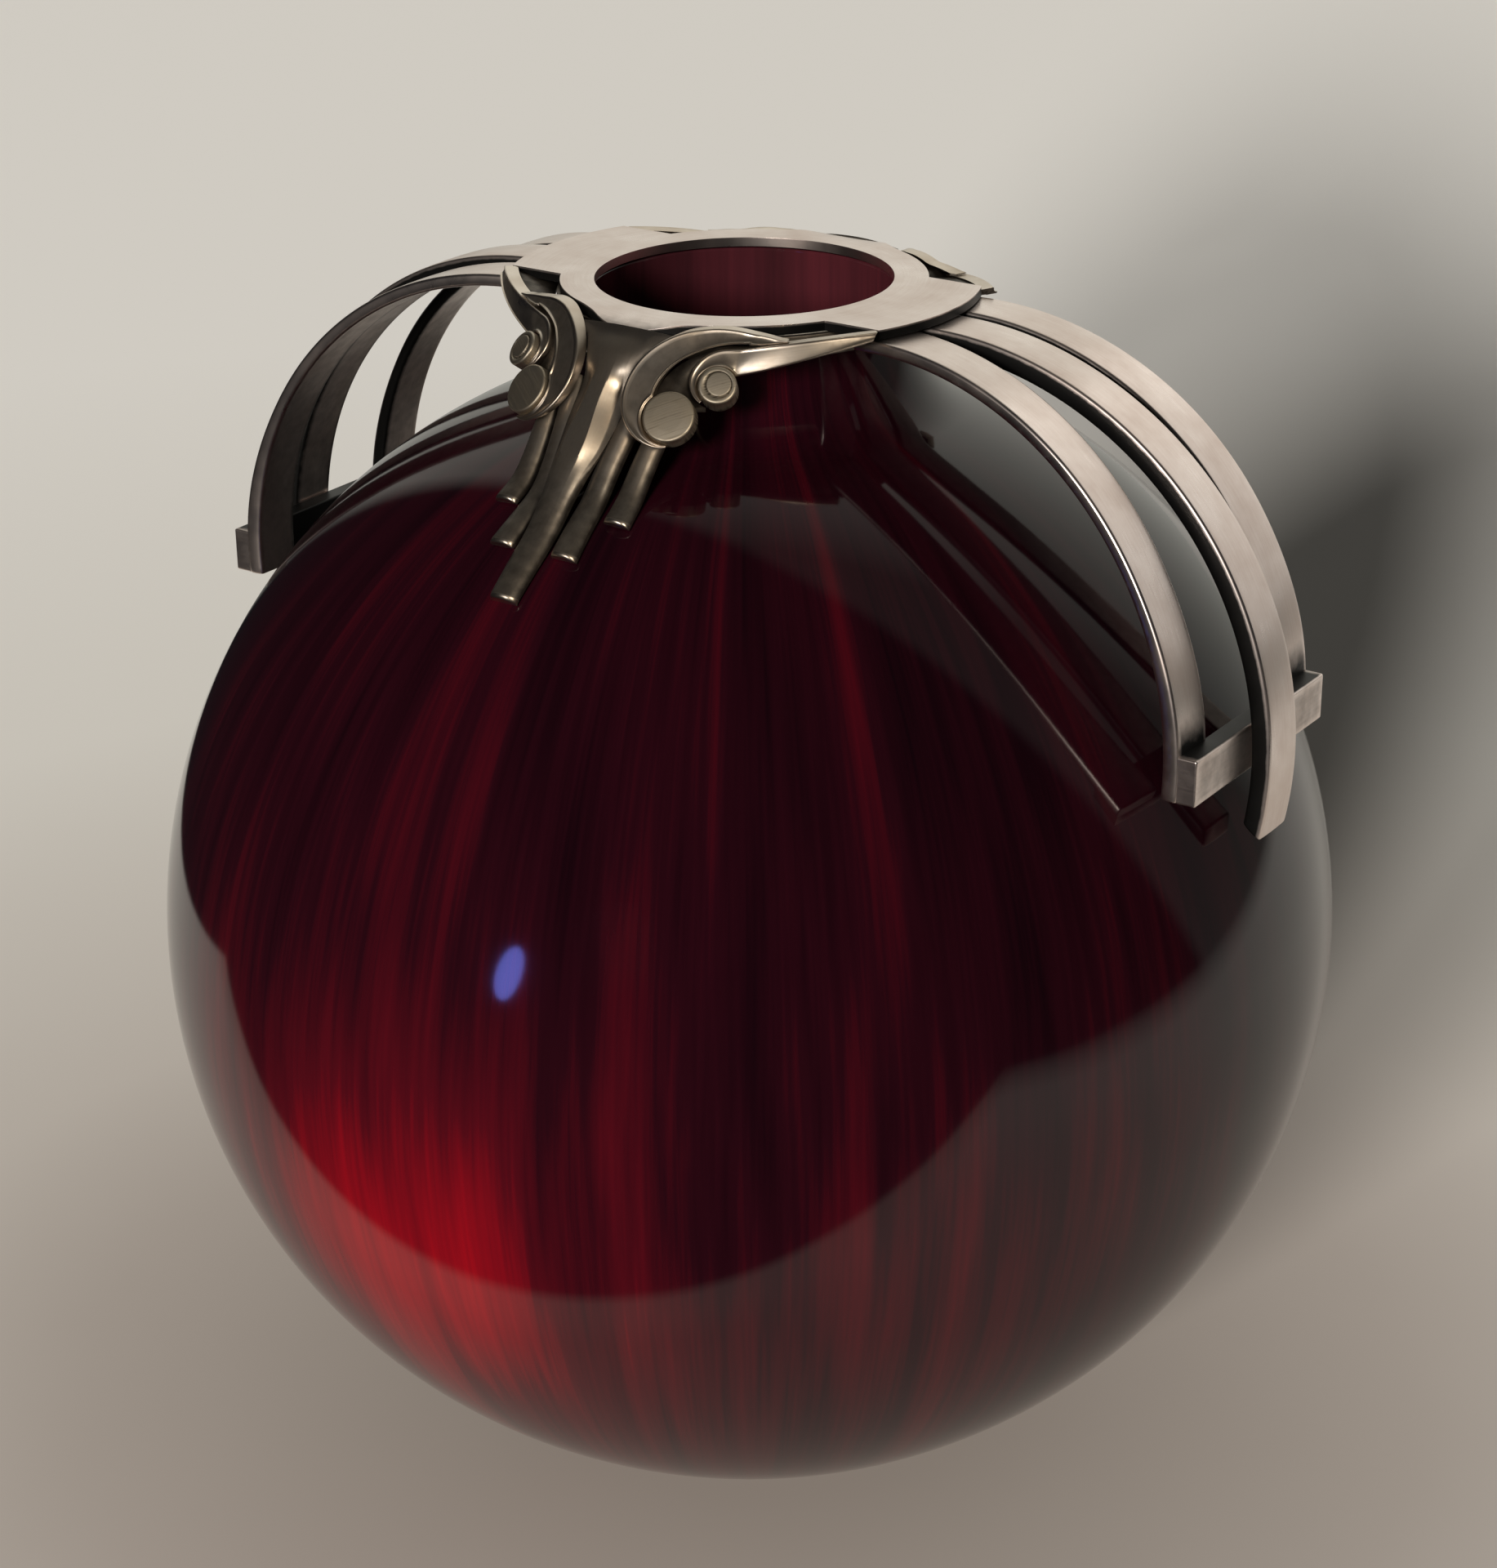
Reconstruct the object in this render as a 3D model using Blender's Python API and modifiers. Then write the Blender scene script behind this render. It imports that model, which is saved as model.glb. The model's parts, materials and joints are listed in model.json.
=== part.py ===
# Ball vase: a glazed stoneware ball with a silvered mount on its neck.
#
# Metres, +Z up. The origin is under the centre of the foot, the handles lie along X
# and the front ornament faces -Y.
import math

import bmesh
import bpy
from mathutils import Vector

# Clearance between pieces that touch on the real vase
GAP = 0.0003

# Stoneware ball
BALL_RADIUS = 0.115
BALL_RISE = 0.1133          # height of the upper half above the widest ring
BALL_DROP = 0.1127          # depth of the lower half below the widest ring
BALL_WALL = 0.006
FOOT_HEIGHT = 0.0016        # how far the foot ring stands proud of the ball
FOOT_RADIUS = 0.038
FOOT_RING_WIDTH = 0.007
FOOT_RECESS = 0.0025
NECK_RADIUS = 0.032
NECK_WALL = 0.0037
NECK_STRAIGHT = 0.0051      # upright part of the neck above the cove
NECK_COVE = 0.0172          # radius of the cove from neck to shoulder
TURNED_STEPS = 36
BALL_STEPS = 8
COVE_STEPS = 5

# Collar on the neck
CEMENT_THICKNESS = 0.001
SLEEVE_THICKNESS = 0.0012
SLEEVE_HEIGHT = 0.004
COLLAR_THICKNESS = 0.0018
COLLAR_HOLE_RADIUS = 0.0278
COLLAR_LEDGE = 0.0006       # ring outside the sleeve, seen in the four notches
ARM_REACH = 0.0443          # end of the two handle arms from the axis
ARM_HALF_WIDTH = 0.0175
TONGUE_REACH = 0.0022       # front and back tongues past the ring
TONGUE_HALF_ANGLE = math.radians(26)
ARM_STEPS = 10
RING_STEPS = 30

# Handles: three flat bars and a crossbar on each side
BAR_WIDTH = 0.0102
OUTER_BAR_THICKNESS = 0.0024
MIDDLE_BAR_THICKNESS = 0.0038
OUTER_BAR_WAIST = 0.0610    # height above the widest ring where the bar hangs upright
MIDDLE_BAR_WAIST = 0.0572
MIDDLE_BAR_TIP = 0.0434     # height of the middle bar's cut end above the widest ring
SPREAD_AT_COLLAR = 0.0127   # outer bars' distance from the middle bar, centre to centre
SPREAD_AT_CROSSBAR = 0.0195
CROSSBAR_BOTTOM = 0.0562    # height above the widest ring
CROSSBAR_HEIGHT = 0.0087
CROSSBAR_THICKNESS = 0.0040
CROSSBAR_BEVEL = 0.0003
HANDLE_STANDOFF = 0.0034    # outer bars' lower ends off the ball
BAR_STEPS = 26

# Ornaments: the flat pattern of each is rolled onto a cone that leans out from the collar.
# In the pattern, u runs across and v down the slope from the top of the cone.
CONE_LEDGE = 0.0021         # top of the cone outside the collar ring
CONE_DROP = 0.0005          # top of the cone below the collar's top
CONE_LEAN = math.radians(36.5)
SCROLL_FRONT = 0.0009       # face of the scrolls above the cone
SCROLL_THICKNESS = 0.0023
SCROLL_BULGE = 0.0015       # scroll plates stand further out towards the leaf
FLARE_START = 0.023         # where the straps leave the cone for the arm corners
FLARE_SLOPE = 0.31
LARGE_EYE = (0.0153, 0.0149)
LARGE_EYE_RADIUS = 0.0047
SMALL_EYE = (0.02135, 0.00705)
SMALL_EYE_RADIUS = 0.00345
EYE_RISE = 0.0013           # face of an eye boss above the face of its scroll
LARGE_EYE_DEPTH = 0.0030
SMALL_EYE_DEPTH = 0.0040
EYE_BEVEL = 0.0004
EYE_STEPS = 24
LARGE_OUTER_GROWTH = 0.224  # spirals grow by e to this power for each radian
LARGE_OUTER_GROWTH_END = 0.355  # the mean growth by the end of the curl
LARGE_INNER_GROWTH = 0.934
SMALL_GROWTH = 0.229
LARGE_OUTER_START = math.radians(50)
LARGE_INNER_START = math.radians(214)
SMALL_START = math.radians(72)
LARGE_CURL = (math.radians(92), math.radians(296))
SMALL_CURL = (math.radians(120), math.radians(262))
STRAP_TIP = (0.0422, -0.0105)
STRAP_TIP_WIDTH = 0.0009
STRAP_TOP_BEND = (0.0302, -0.0050)
STRAP_LOW_BEND = (0.0318, -0.0012)
STRAP_LOW_START = math.radians(302)
STRAP_ROUND_SHARE = 1 / 3   # part of the strap whose low edge still rounds the eye
SCROLL_STEPS = 20
STRAP_STEPS = 9

# Leaf and reeds between and below the scrolls
LEAF_TOP_HALF_WIDTH = 0.0062
LEAF_WAIST_HALF_WIDTH = 0.0037
LEAF_WAIST = 0.0105         # v of the narrowest place between the scrolls
LEAF_TIP_HALF_WIDTH = 0.0027
LEAF_TIP = 0.0548
LEAF_TOP_THICKNESS = 0.0030
LEAF_TIP_THICKNESS = 0.0024
LEAF_BACK_AT_TOP = -0.0023  # back of the leaf off the cone, at the collar
LEAF_BACK_SLOPE = 0.0746
LEAF_CROWN = 0.0009
REED_THICKNESS = 0.0023
REED_CROWN = 0.0010
REED_TOP_HALF_WIDTH = 0.0022
REED_TIP_HALF_WIDTH = 0.0025
INNER_REED_TOP = (0.0083, 0.0100)
INNER_REED_TIP = (0.0066, 0.0445)
OUTER_REED_TOP = (0.0128, 0.0165)
OUTER_REED_TIP = (0.0123, 0.0357)
BALL_BLEND = 0.0012         # how softly leaf and reeds bend onto the ball
LEAF_STEPS = 18
REED_STEPS = 10
CROWN_STEPS = 4

# Meshing
HALVINGS = 60
MERGE_DISTANCE = 0.00001
SHARP_ANGLE = math.radians(40)


def cove_centre(neck_radius, cove, ball_radius, ball_rise):
    """Centre of the cove between an upright neck and the ball, and the angle where it lands."""
    low, high = 0.0, math.pi / 2
    for _ in range(HALVINGS):
        angle = (low + high) / 2
        normal = Vector((math.sin(angle) / ball_radius, math.cos(angle) / ball_rise)).normalized()
        radius = ball_radius * math.sin(angle) + cove * normal.x
        if radius < neck_radius + cove:
            low = angle
        else:
            high = angle
    return neck_radius + cove, ball_rise * math.cos(angle) + cove * normal.y, angle


# Heights and radii that follow from the sizes above
FOOT_SHARE = math.sqrt(1 - (FOOT_RADIUS / BALL_RADIUS) ** 2)
CENTRE_HEIGHT = BALL_DROP * FOOT_SHARE + FOOT_HEIGHT
COVE_RADIUS, COVE_HEIGHT, COVE_LANDING = cove_centre(NECK_RADIUS, NECK_COVE, BALL_RADIUS, BALL_RISE)
LIP_TOP = CENTRE_HEIGHT + COVE_HEIGHT + NECK_STRAIGHT
COLLAR_BOTTOM = LIP_TOP + GAP
COLLAR_TOP = COLLAR_BOTTOM + COLLAR_THICKNESS
CEMENT_INNER = NECK_RADIUS + GAP
SLEEVE_INNER = CEMENT_INNER + CEMENT_THICKNESS + GAP
SLEEVE_OUTER = SLEEVE_INNER + SLEEVE_THICKNESS
RING_RADIUS = SLEEVE_OUTER + COLLAR_LEDGE
BAR_TOP = COLLAR_BOTTOM - GAP
CONE_RADIUS = RING_RADIUS + CONE_LEDGE
CONE_TOP = COLLAR_TOP - CONE_DROP
CONE_SLANT = CONE_RADIUS / math.sin(CONE_LEAN)
SCROLL_BACK = SCROLL_FRONT - SCROLL_THICKNESS
LARGE_OUTER_TURN = LARGE_CURL[1] - LARGE_OUTER_START
LARGE_OUTER_QUICKEN = (LARGE_OUTER_GROWTH_END - LARGE_OUTER_GROWTH) / LARGE_OUTER_TURN

for old in list(bpy.data.objects):
    bpy.data.objects.remove(old, do_unlink=True)

vase = bpy.data.collections.new("ball_vase")
bpy.context.scene.collection.children.link(vase)


def principled(name, color, roughness, metallic):
    material = bpy.data.materials.new(name)
    material.use_nodes = True
    shader = material.node_tree.nodes["Principled BSDF"]
    shader.inputs["Base Color"].default_value = (*color, 1.0)
    shader.inputs["Roughness"].default_value = roughness
    shader.inputs["Metallic"].default_value = metallic
    return material


glaze = principled("oxblood_glaze", (0.11, 0.006, 0.012), 0.08, 0.0)
plaster = principled("plaster", (0.62, 0.58, 0.50), 0.85, 0.0)
silver = principled("silver_plate", (0.58, 0.54, 0.48), 0.35, 1.0)


def empty(name, turn=0.0):
    pivot = bpy.data.objects.new(name, None)
    pivot.rotation_euler.z = turn
    vase.objects.link(pivot)
    return pivot


def add_object(name, data, material, parent=None):
    data.materials.append(material)
    piece = bpy.data.objects.new(name, data)
    vase.objects.link(piece)
    piece.parent = parent
    return piece


def finish_mesh(name, bm, material, parent=None):
    bmesh.ops.recalc_face_normals(bm, faces=bm.faces)
    mesh = bpy.data.meshes.new(name)
    bm.to_mesh(mesh)
    bm.free()
    mesh.shade_smooth()
    mesh.set_sharp_from_angle(angle=SHARP_ANGLE)
    return add_object(name, mesh, material, parent)


def turned(name, profile, material, closed):
    """A lathe shape from (radius, height) points that run down the outer side."""
    mesh = bpy.data.meshes.new(name)
    edges = [(i, i + 1) for i in range(len(profile) - 1)]
    if closed:
        edges.append((len(profile) - 1, 0))
    mesh.from_pydata([(r, 0.0, z) for r, z in profile], edges, [])
    piece = add_object(name, mesh, material)
    screw = piece.modifiers.new("turn", "SCREW")
    screw.steps = TURNED_STEPS
    screw.render_steps = TURNED_STEPS
    screw.use_merge_vertices = True
    screw.merge_threshold = MERGE_DISTANCE
    return piece


def loft(name, sections, material, parent=None):
    """A solid through closed sections that all have the same number of points."""
    bm = bmesh.new()
    rings = [[bm.verts.new(point) for point in section] for section in sections]
    count = len(rings[0])
    for ring, following in zip(rings, rings[1:]):
        for i in range(count):
            j = (i + 1) % count
            bm.faces.new((ring[i], ring[j], following[j], following[i]))
    bm.faces.new(rings[0])
    bm.faces.new(rings[-1])
    return finish_mesh(name, bm, material, parent)


def arc(centre, radius_x, radius_z, start, end, steps):
    """Points of an elliptical arc, with angles from straight up towards +X."""
    points = []
    for i in range(steps + 1):
        angle = start + (end - start) * i / steps
        points.append((centre[0] + radius_x * math.sin(angle), centre[1] + radius_z * math.cos(angle)))
    return points


# Stoneware ball with its neck and foot
def build_ball():
    middle = CENTRE_HEIGHT
    mouth = NECK_RADIUS - NECK_WALL
    inner_radius = BALL_RADIUS - BALL_WALL
    inner_rise = BALL_RISE - BALL_WALL
    inner_drop = BALL_DROP - BALL_WALL
    inner_cove = NECK_COVE + NECK_WALL
    inner_r, inner_z, inner_landing = cove_centre(mouth, inner_cove, inner_radius, inner_rise)
    foot_angle = math.pi - math.asin(FOOT_RADIUS / BALL_RADIUS)

    def cove_arc(r, z, cove, radius, rise, landing):
        land = (radius * math.sin(landing), middle + rise * math.cos(landing))
        end = math.atan2(land[0] - r, land[1] - (middle + z))
        if end > 0:
            end -= 2 * math.pi
        return arc((r, middle + z), cove, cove, -math.pi / 2, end, COVE_STEPS)

    inside = arc((0, middle), inner_radius, inner_drop, math.pi, math.pi / 2, BALL_STEPS)
    inside += arc((0, middle), inner_radius, inner_rise, math.pi / 2, inner_landing, BALL_STEPS)[1:]
    inside += cove_arc(inner_r, inner_z, inner_cove, inner_radius, inner_rise, inner_landing)[::-1][1:]
    inside[0] = (0.0, inside[0][1])
    outside = cove_arc(COVE_RADIUS, COVE_HEIGHT, NECK_COVE, BALL_RADIUS, BALL_RISE, COVE_LANDING)
    outside += arc((0, middle), BALL_RADIUS, BALL_RISE, COVE_LANDING, math.pi / 2, BALL_STEPS)[1:]
    outside += arc((0, middle), BALL_RADIUS, BALL_DROP, math.pi / 2, foot_angle, BALL_STEPS)[1:]
    lip = [(mouth, LIP_TOP), (NECK_RADIUS, LIP_TOP)]
    recess = FOOT_RADIUS - FOOT_RING_WIDTH
    foot = [(FOOT_RADIUS, 0.0), (recess, 0.0), (recess, FOOT_RECESS), (0.0, FOOT_RECESS)]
    turned("vase_body", inside + lip + outside + foot, glaze, closed=False)


# Plaster bed and metal sleeve round the neck
def build_neck_fittings():
    low = LIP_TOP - SLEEVE_HEIGHT
    bed_outer = CEMENT_INNER + CEMENT_THICKNESS
    bed = [(CEMENT_INNER, LIP_TOP), (bed_outer, LIP_TOP), (bed_outer, low), (CEMENT_INNER, low)]
    turned("neck_plaster", bed, plaster, closed=True)
    tube = [(SLEEVE_INNER, LIP_TOP), (SLEEVE_OUTER, LIP_TOP), (SLEEVE_OUTER, low), (SLEEVE_INNER, low)]
    turned("neck_sleeve", tube, silver, closed=True)


def tongue_radius(angle):
    """Edge of the front tongue, swelling smoothly out of the ring."""
    swell = (math.cos(math.pi * angle / TONGUE_HALF_ANGLE) + 1) / 2
    return RING_RADIUS + TONGUE_REACH * swell


# Collar plate: ring, two handle arms and two tongues, cut from one sheet
def build_collar():
    notch = math.asin(ARM_HALF_WIDTH / RING_RADIUS)
    corner = math.asin(ARM_HALF_WIDTH / ARM_REACH)
    half = []
    for i in range(ARM_STEPS + 1):
        angle = -corner + 2 * corner * i / ARM_STEPS
        half.append((ARM_REACH * math.cos(angle), ARM_REACH * math.sin(angle)))
    ring_start, ring_end = notch, math.pi - notch
    for i in range(RING_STEPS + 1):
        angle = ring_start + (ring_end - ring_start) * i / RING_STEPS
        off_tongue = abs(angle - math.pi / 2)
        radius = RING_RADIUS
        if off_tongue < TONGUE_HALF_ANGLE:
            radius = tongue_radius(off_tongue)
        half.append((radius * math.cos(angle), radius * math.sin(angle)))
    outline = half + [(-x, -y) for x, y in half]
    hole = []
    for i in range(TURNED_STEPS):
        angle = 2 * math.pi * i / TURNED_STEPS
        hole.append((COLLAR_HOLE_RADIUS * math.cos(angle), COLLAR_HOLE_RADIUS * math.sin(angle)))
    curve = bpy.data.curves.new("collar_plate", "CURVE")
    curve.dimensions = "2D"
    curve.fill_mode = "BOTH"
    curve.extrude = COLLAR_THICKNESS / 2
    for points in (outline, hole):
        spline = curve.splines.new("POLY")
        spline.points.add(len(points) - 1)
        spline.use_cyclic_u = True
        for point, (x, y) in zip(spline.points, points):
            point.co = (x, y, 0.0, 1.0)
    plate = add_object("collar_plate", curve, silver)
    plate.location.z = COLLAR_BOTTOM + COLLAR_THICKNESS / 2


def ball_radius_at(height):
    """Ball's outside radius at a height above its widest ring."""
    return BALL_RADIUS * math.sqrt(1 - (height / BALL_RISE) ** 2)


def hang_sag(reach, start, waist, height):
    """How far a bar that bends down from start has drawn in at a height off its waist."""
    drop = BAR_TOP - CENTRE_HEIGHT - waist
    return (reach - start) * (1 - math.sqrt(1 - ((height - waist) / drop) ** 2))


# Handle sizes that follow from the ball and the crossbar
CROSSBAR_TOP = CROSSBAR_BOTTOM + CROSSBAR_HEIGHT
ARM_CORNER = math.sqrt(ARM_REACH ** 2 - ARM_HALF_WIDTH ** 2)
OUTER_REACH = ball_radius_at(CROSSBAR_BOTTOM) + HANDLE_STANDOFF + OUTER_BAR_THICKNESS
CROSSBAR_BACK = OUTER_REACH + GAP
CROSSBAR_FACE = CROSSBAR_BACK + CROSSBAR_THICKNESS
MIDDLE_BACK = CROSSBAR_FACE + GAP
MIDDLE_SAG = max(hang_sag(MIDDLE_BACK, ARM_REACH, MIDDLE_BAR_WAIST, height)
                 for height in (CROSSBAR_BOTTOM, CROSSBAR_TOP))
MIDDLE_REACH = MIDDLE_BACK + MIDDLE_SAG + MIDDLE_BAR_THICKNESS


def bar_spread(x):
    """Outer bars' distance from the middle bar, which grows towards the crossbar."""
    share = (x - ARM_CORNER) / (OUTER_REACH - ARM_CORNER)
    return SPREAD_AT_COLLAR + (SPREAD_AT_CROSSBAR - SPREAD_AT_COLLAR) * share


def build_bar(name, side, start, reach, waist, tip, thickness, parent):
    """A flat bar: level under the arm, then bent down like a quarter of an ellipse."""
    hub = (start, CENTRE_HEIGHT + waist)
    rise = BAR_TOP - hub[1]
    last = math.acos((tip - waist) / rise)
    outer = arc(hub, reach - start, rise, 0.0, last, BAR_STEPS)
    inner = arc(hub, reach - start - thickness, rise - thickness, 0.0, last, BAR_STEPS)
    root = SLEEVE_OUTER + GAP
    outer.insert(0, (root, BAR_TOP))
    inner.insert(0, (root, BAR_TOP - thickness))
    sections = []
    for (xo, zo), (xi, zi) in zip(outer, inner):
        section = []
        for x, z, edge in ((xo, zo, -1), (xo, zo, 1), (xi, zi, 1), (xi, zi, -1)):
            section.append((x, side * bar_spread(x) + edge * BAR_WIDTH / 2, z))
        sections.append(section)
    loft(name, sections, silver, parent)


# One handle, built on the +X side and turned to its place
def build_handle(name, turn, first, last):
    pivot = empty(name, turn)
    for label, side in ((first, -1), (last, 1)):
        build_bar(f"{name}_{label}_bar", side, ARM_CORNER, OUTER_REACH, OUTER_BAR_WAIST,
                  CROSSBAR_BOTTOM, OUTER_BAR_THICKNESS, pivot)
    build_bar(f"{name}_middle_bar", 0, ARM_REACH, MIDDLE_REACH, MIDDLE_BAR_WAIST,
              MIDDLE_BAR_TIP, MIDDLE_BAR_THICKNESS, pivot)
    bm = bmesh.new()
    bmesh.ops.create_cube(bm, size=1.0)
    length = 2 * SPREAD_AT_CROSSBAR + BAR_WIDTH
    bmesh.ops.scale(bm, vec=(CROSSBAR_THICKNESS, length, CROSSBAR_HEIGHT), verts=bm.verts)
    crossbar = finish_mesh(f"{name}_crossbar", bm, silver, pivot)
    middle = CENTRE_HEIGHT + CROSSBAR_BOTTOM + CROSSBAR_HEIGHT / 2
    crossbar.location = ((CROSSBAR_BACK + CROSSBAR_FACE) / 2, 0.0, middle)
    bevel = crossbar.modifiers.new("edges", "BEVEL")
    bevel.width = CROSSBAR_BEVEL
    bevel.segments = 1


def on_cone(u, v, n):
    """Rolls a point of an ornament's flat pattern, n above the pattern, onto the cone."""
    slant = math.hypot(u, CONE_SLANT + v)
    turn = math.atan2(u, CONE_SLANT + v) / math.sin(CONE_LEAN)
    n += FLARE_SLOPE * max(0.0, abs(u) - FLARE_START)
    radius = slant * math.sin(CONE_LEAN) + n * math.cos(CONE_LEAN)
    height = CONE_TOP - (slant - CONE_SLANT) * math.cos(CONE_LEAN) + n * math.sin(CONE_LEAN)
    return Vector((radius * math.sin(turn), -radius * math.cos(turn), height))


def ball_above_cone(u, v):
    """How far the ball's surface stands above the cone at a place of the flat pattern."""
    base = on_cone(u, v, 0.0)
    radius = math.hypot(base.x, base.y)
    height = base.z - CENTRE_HEIGHT
    dr, dz = math.cos(CONE_LEAN), math.sin(CONE_LEAN)
    a = (dr / BALL_RADIUS) ** 2 + (dz / BALL_RISE) ** 2
    b = 2 * (radius * dr / BALL_RADIUS ** 2 + height * dz / BALL_RISE ** 2)
    c = (radius / BALL_RADIUS) ** 2 + (height / BALL_RISE) ** 2 - 1
    return (-b + math.sqrt(b * b - 4 * a * c)) / (2 * a)


def soft_max(first, second):
    return (first + second + math.hypot(first - second, BALL_BLEND)) / 2


def scroll_bulge(u):
    """How far the scroll plates stand out from the cone, which eases away at the large eyes."""
    return SCROLL_BULGE * max(0.0, 1 - (u / LARGE_EYE[0]) ** 2)


def spiral(eye, radius, growth, quicken, turn_from, angle):
    """Point of a spiral round an eye, which has the given radius where its turn starts."""
    turn = angle - turn_from
    reach = radius * math.exp((growth + quicken * turn) * turn)
    return Vector((eye[0] + reach * math.cos(angle), eye[1] + reach * math.sin(angle)))


def rim(eye, radius, angle):
    return Vector((eye[0] + radius * math.cos(angle), eye[1] + radius * math.sin(angle)))


def bezier(a, b, c, t):
    return a * (1 - t) ** 2 + b * 2 * t * (1 - t) + c * t ** 2


def scroll_solid(name, edges, side, parent):
    """A plate between pairs of outer and inner edge points of the flat pattern."""
    sections = []
    for outer, inner in edges:
        front, back = SCROLL_FRONT, SCROLL_BACK
        section = []
        for point, level in ((outer, front), (inner, front), (inner, back), (outer, back)):
            section.append(on_cone(side * point.x, point.y, level + scroll_bulge(point.x)))
        sections.append(section)
    loft(name, sections, silver, parent)


def large_scroll_edges():
    """Both edges are spirals round the large eye; the inner one starts at its boss."""
    seat = LARGE_EYE_RADIUS + GAP
    edges = []
    for i in range(SCROLL_STEPS + 1):
        angle = LARGE_CURL[0] + (LARGE_CURL[1] - LARGE_CURL[0]) * i / SCROLL_STEPS
        outer = spiral(LARGE_EYE, LARGE_EYE_RADIUS, LARGE_OUTER_GROWTH, LARGE_OUTER_QUICKEN,
                       LARGE_OUTER_START, angle)
        inner = rim(LARGE_EYE, seat, angle)
        if angle > LARGE_INNER_START:
            inner = spiral(LARGE_EYE, seat, LARGE_INNER_GROWTH, 0.0, LARGE_INNER_START, angle)
        edges.append((outer, inner))
    return edges


def small_scroll_edges():
    """A curl round the small eye that runs out into a strap to the arm's corner."""
    seat = SMALL_EYE_RADIUS + GAP
    edges = []
    for i in range(SCROLL_STEPS + 1):
        angle = SMALL_CURL[0] + (SMALL_CURL[1] - SMALL_CURL[0]) * i / SCROLL_STEPS
        outer = spiral(SMALL_EYE, SMALL_EYE_RADIUS, SMALL_GROWTH, 0.0, SMALL_START, angle)
        edges.append((outer, rim(SMALL_EYE, seat, angle)))
    top_start = edges[-1][0]
    tip = Vector(STRAP_TIP)
    low_tip = tip + Vector((0.0, STRAP_TIP_WIDTH))
    for i in range(1, STRAP_STEPS + 1):
        t = i / STRAP_STEPS
        rounding = min(1.0, t / STRAP_ROUND_SHARE)
        low = rim(SMALL_EYE, seat, SMALL_CURL[1] + (STRAP_LOW_START - SMALL_CURL[1]) * rounding)
        if t > STRAP_ROUND_SHARE:
            along = (t - STRAP_ROUND_SHARE) / (1 - STRAP_ROUND_SHARE)
            low = bezier(rim(SMALL_EYE, seat, STRAP_LOW_START), Vector(STRAP_LOW_BEND), low_tip, along)
        edges.append((bezier(top_start, Vector(STRAP_TOP_BEND), tip, t), low))
    return edges


def build_eye(name, eye, radius, depth, side, parent):
    """A round boss that stands on the cone, its face above the scroll's face."""
    face = SCROLL_FRONT + EYE_RISE
    top = on_cone(side * eye[0], eye[1], face)
    foot = on_cone(side * eye[0], eye[1], face - depth)
    bm = bmesh.new()
    bmesh.ops.create_cone(bm, cap_ends=True, segments=EYE_STEPS, radius1=radius, radius2=radius,
                          depth=depth)
    boss = finish_mesh(name, bm, silver, parent)
    boss.location = (top + foot) / 2
    boss.rotation_euler = (top - foot).to_track_quat("Z", "Y").to_euler()
    bevel = boss.modifiers.new("edges", "BEVEL")
    bevel.width = EYE_BEVEL
    bevel.segments = 1
    bevel.limit_method = "ANGLE"
    bevel.angle_limit = SHARP_ANGLE


def leaf_half_width(v):
    """Wide under the tongue, narrowest between the scrolls, then easing to the tip."""
    if v < LEAF_WAIST:
        share = (LEAF_WAIST - v) / LEAF_WAIST
        return LEAF_WAIST_HALF_WIDTH + (LEAF_TOP_HALF_WIDTH - LEAF_WAIST_HALF_WIDTH) * share ** 2
    share = (v - LEAF_WAIST) / (LEAF_TIP - LEAF_WAIST)
    return LEAF_WAIST_HALF_WIDTH + (LEAF_TIP_HALF_WIDTH - LEAF_WAIST_HALF_WIDTH) * share


def crowned_section(left, right, v, back, thickness, crown):
    """Flat back and gently rounded front between two edges of the flat pattern."""
    points = [on_cone(left, v, back), on_cone(right, v, back)]
    for i in range(CROWN_STEPS + 1):
        share = 1 - i / CROWN_STEPS
        u = left + (right - left) * share
        rise = thickness - crown * (2 * share - 1) ** 2
        points.append(on_cone(u, v, back + rise))
    return points


# Centre leaf, from under the tongue down to its cut tip on the ball
def build_leaf(name, parent):
    face = LEAF_BACK_AT_TOP + LEAF_TOP_THICKNESS
    top = (CONE_TOP - COLLAR_BOTTOM + GAP) / math.cos(CONE_LEAN) + face * math.tan(CONE_LEAN)
    sections = []
    for i in range(LEAF_STEPS + 1):
        v = top + (LEAF_TIP - top) * i / LEAF_STEPS
        share = i / LEAF_STEPS
        thickness = LEAF_TOP_THICKNESS + (LEAF_TIP_THICKNESS - LEAF_TOP_THICKNESS) * share
        back = soft_max(LEAF_BACK_AT_TOP + LEAF_BACK_SLOPE * (v - top), ball_above_cone(0.0, v) + GAP)
        half = leaf_half_width(v)
        sections.append(crowned_section(-half, half, v, back, thickness, LEAF_CROWN))
    loft(name, sections, silver, parent)


# Reeds: half-round strips beside the leaf, from behind the scrolls down onto the ball
def build_reed(name, top, tip, side, parent):
    sections = []
    for i in range(REED_STEPS + 1):
        share = i / REED_STEPS
        u, v = Vector(top).lerp(Vector(tip), share)
        half = REED_TOP_HALF_WIDTH + (REED_TIP_HALF_WIDTH - REED_TOP_HALF_WIDTH) * share
        seat = SCROLL_BACK + scroll_bulge(u) - GAP - REED_THICKNESS
        back = soft_max(seat, ball_above_cone(u, v) + GAP)
        edges = (side * (u - half), side * (u + half))
        sections.append(crowned_section(*edges, v, back, REED_THICKNESS, REED_CROWN))
    loft(name, sections, silver, parent)


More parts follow.
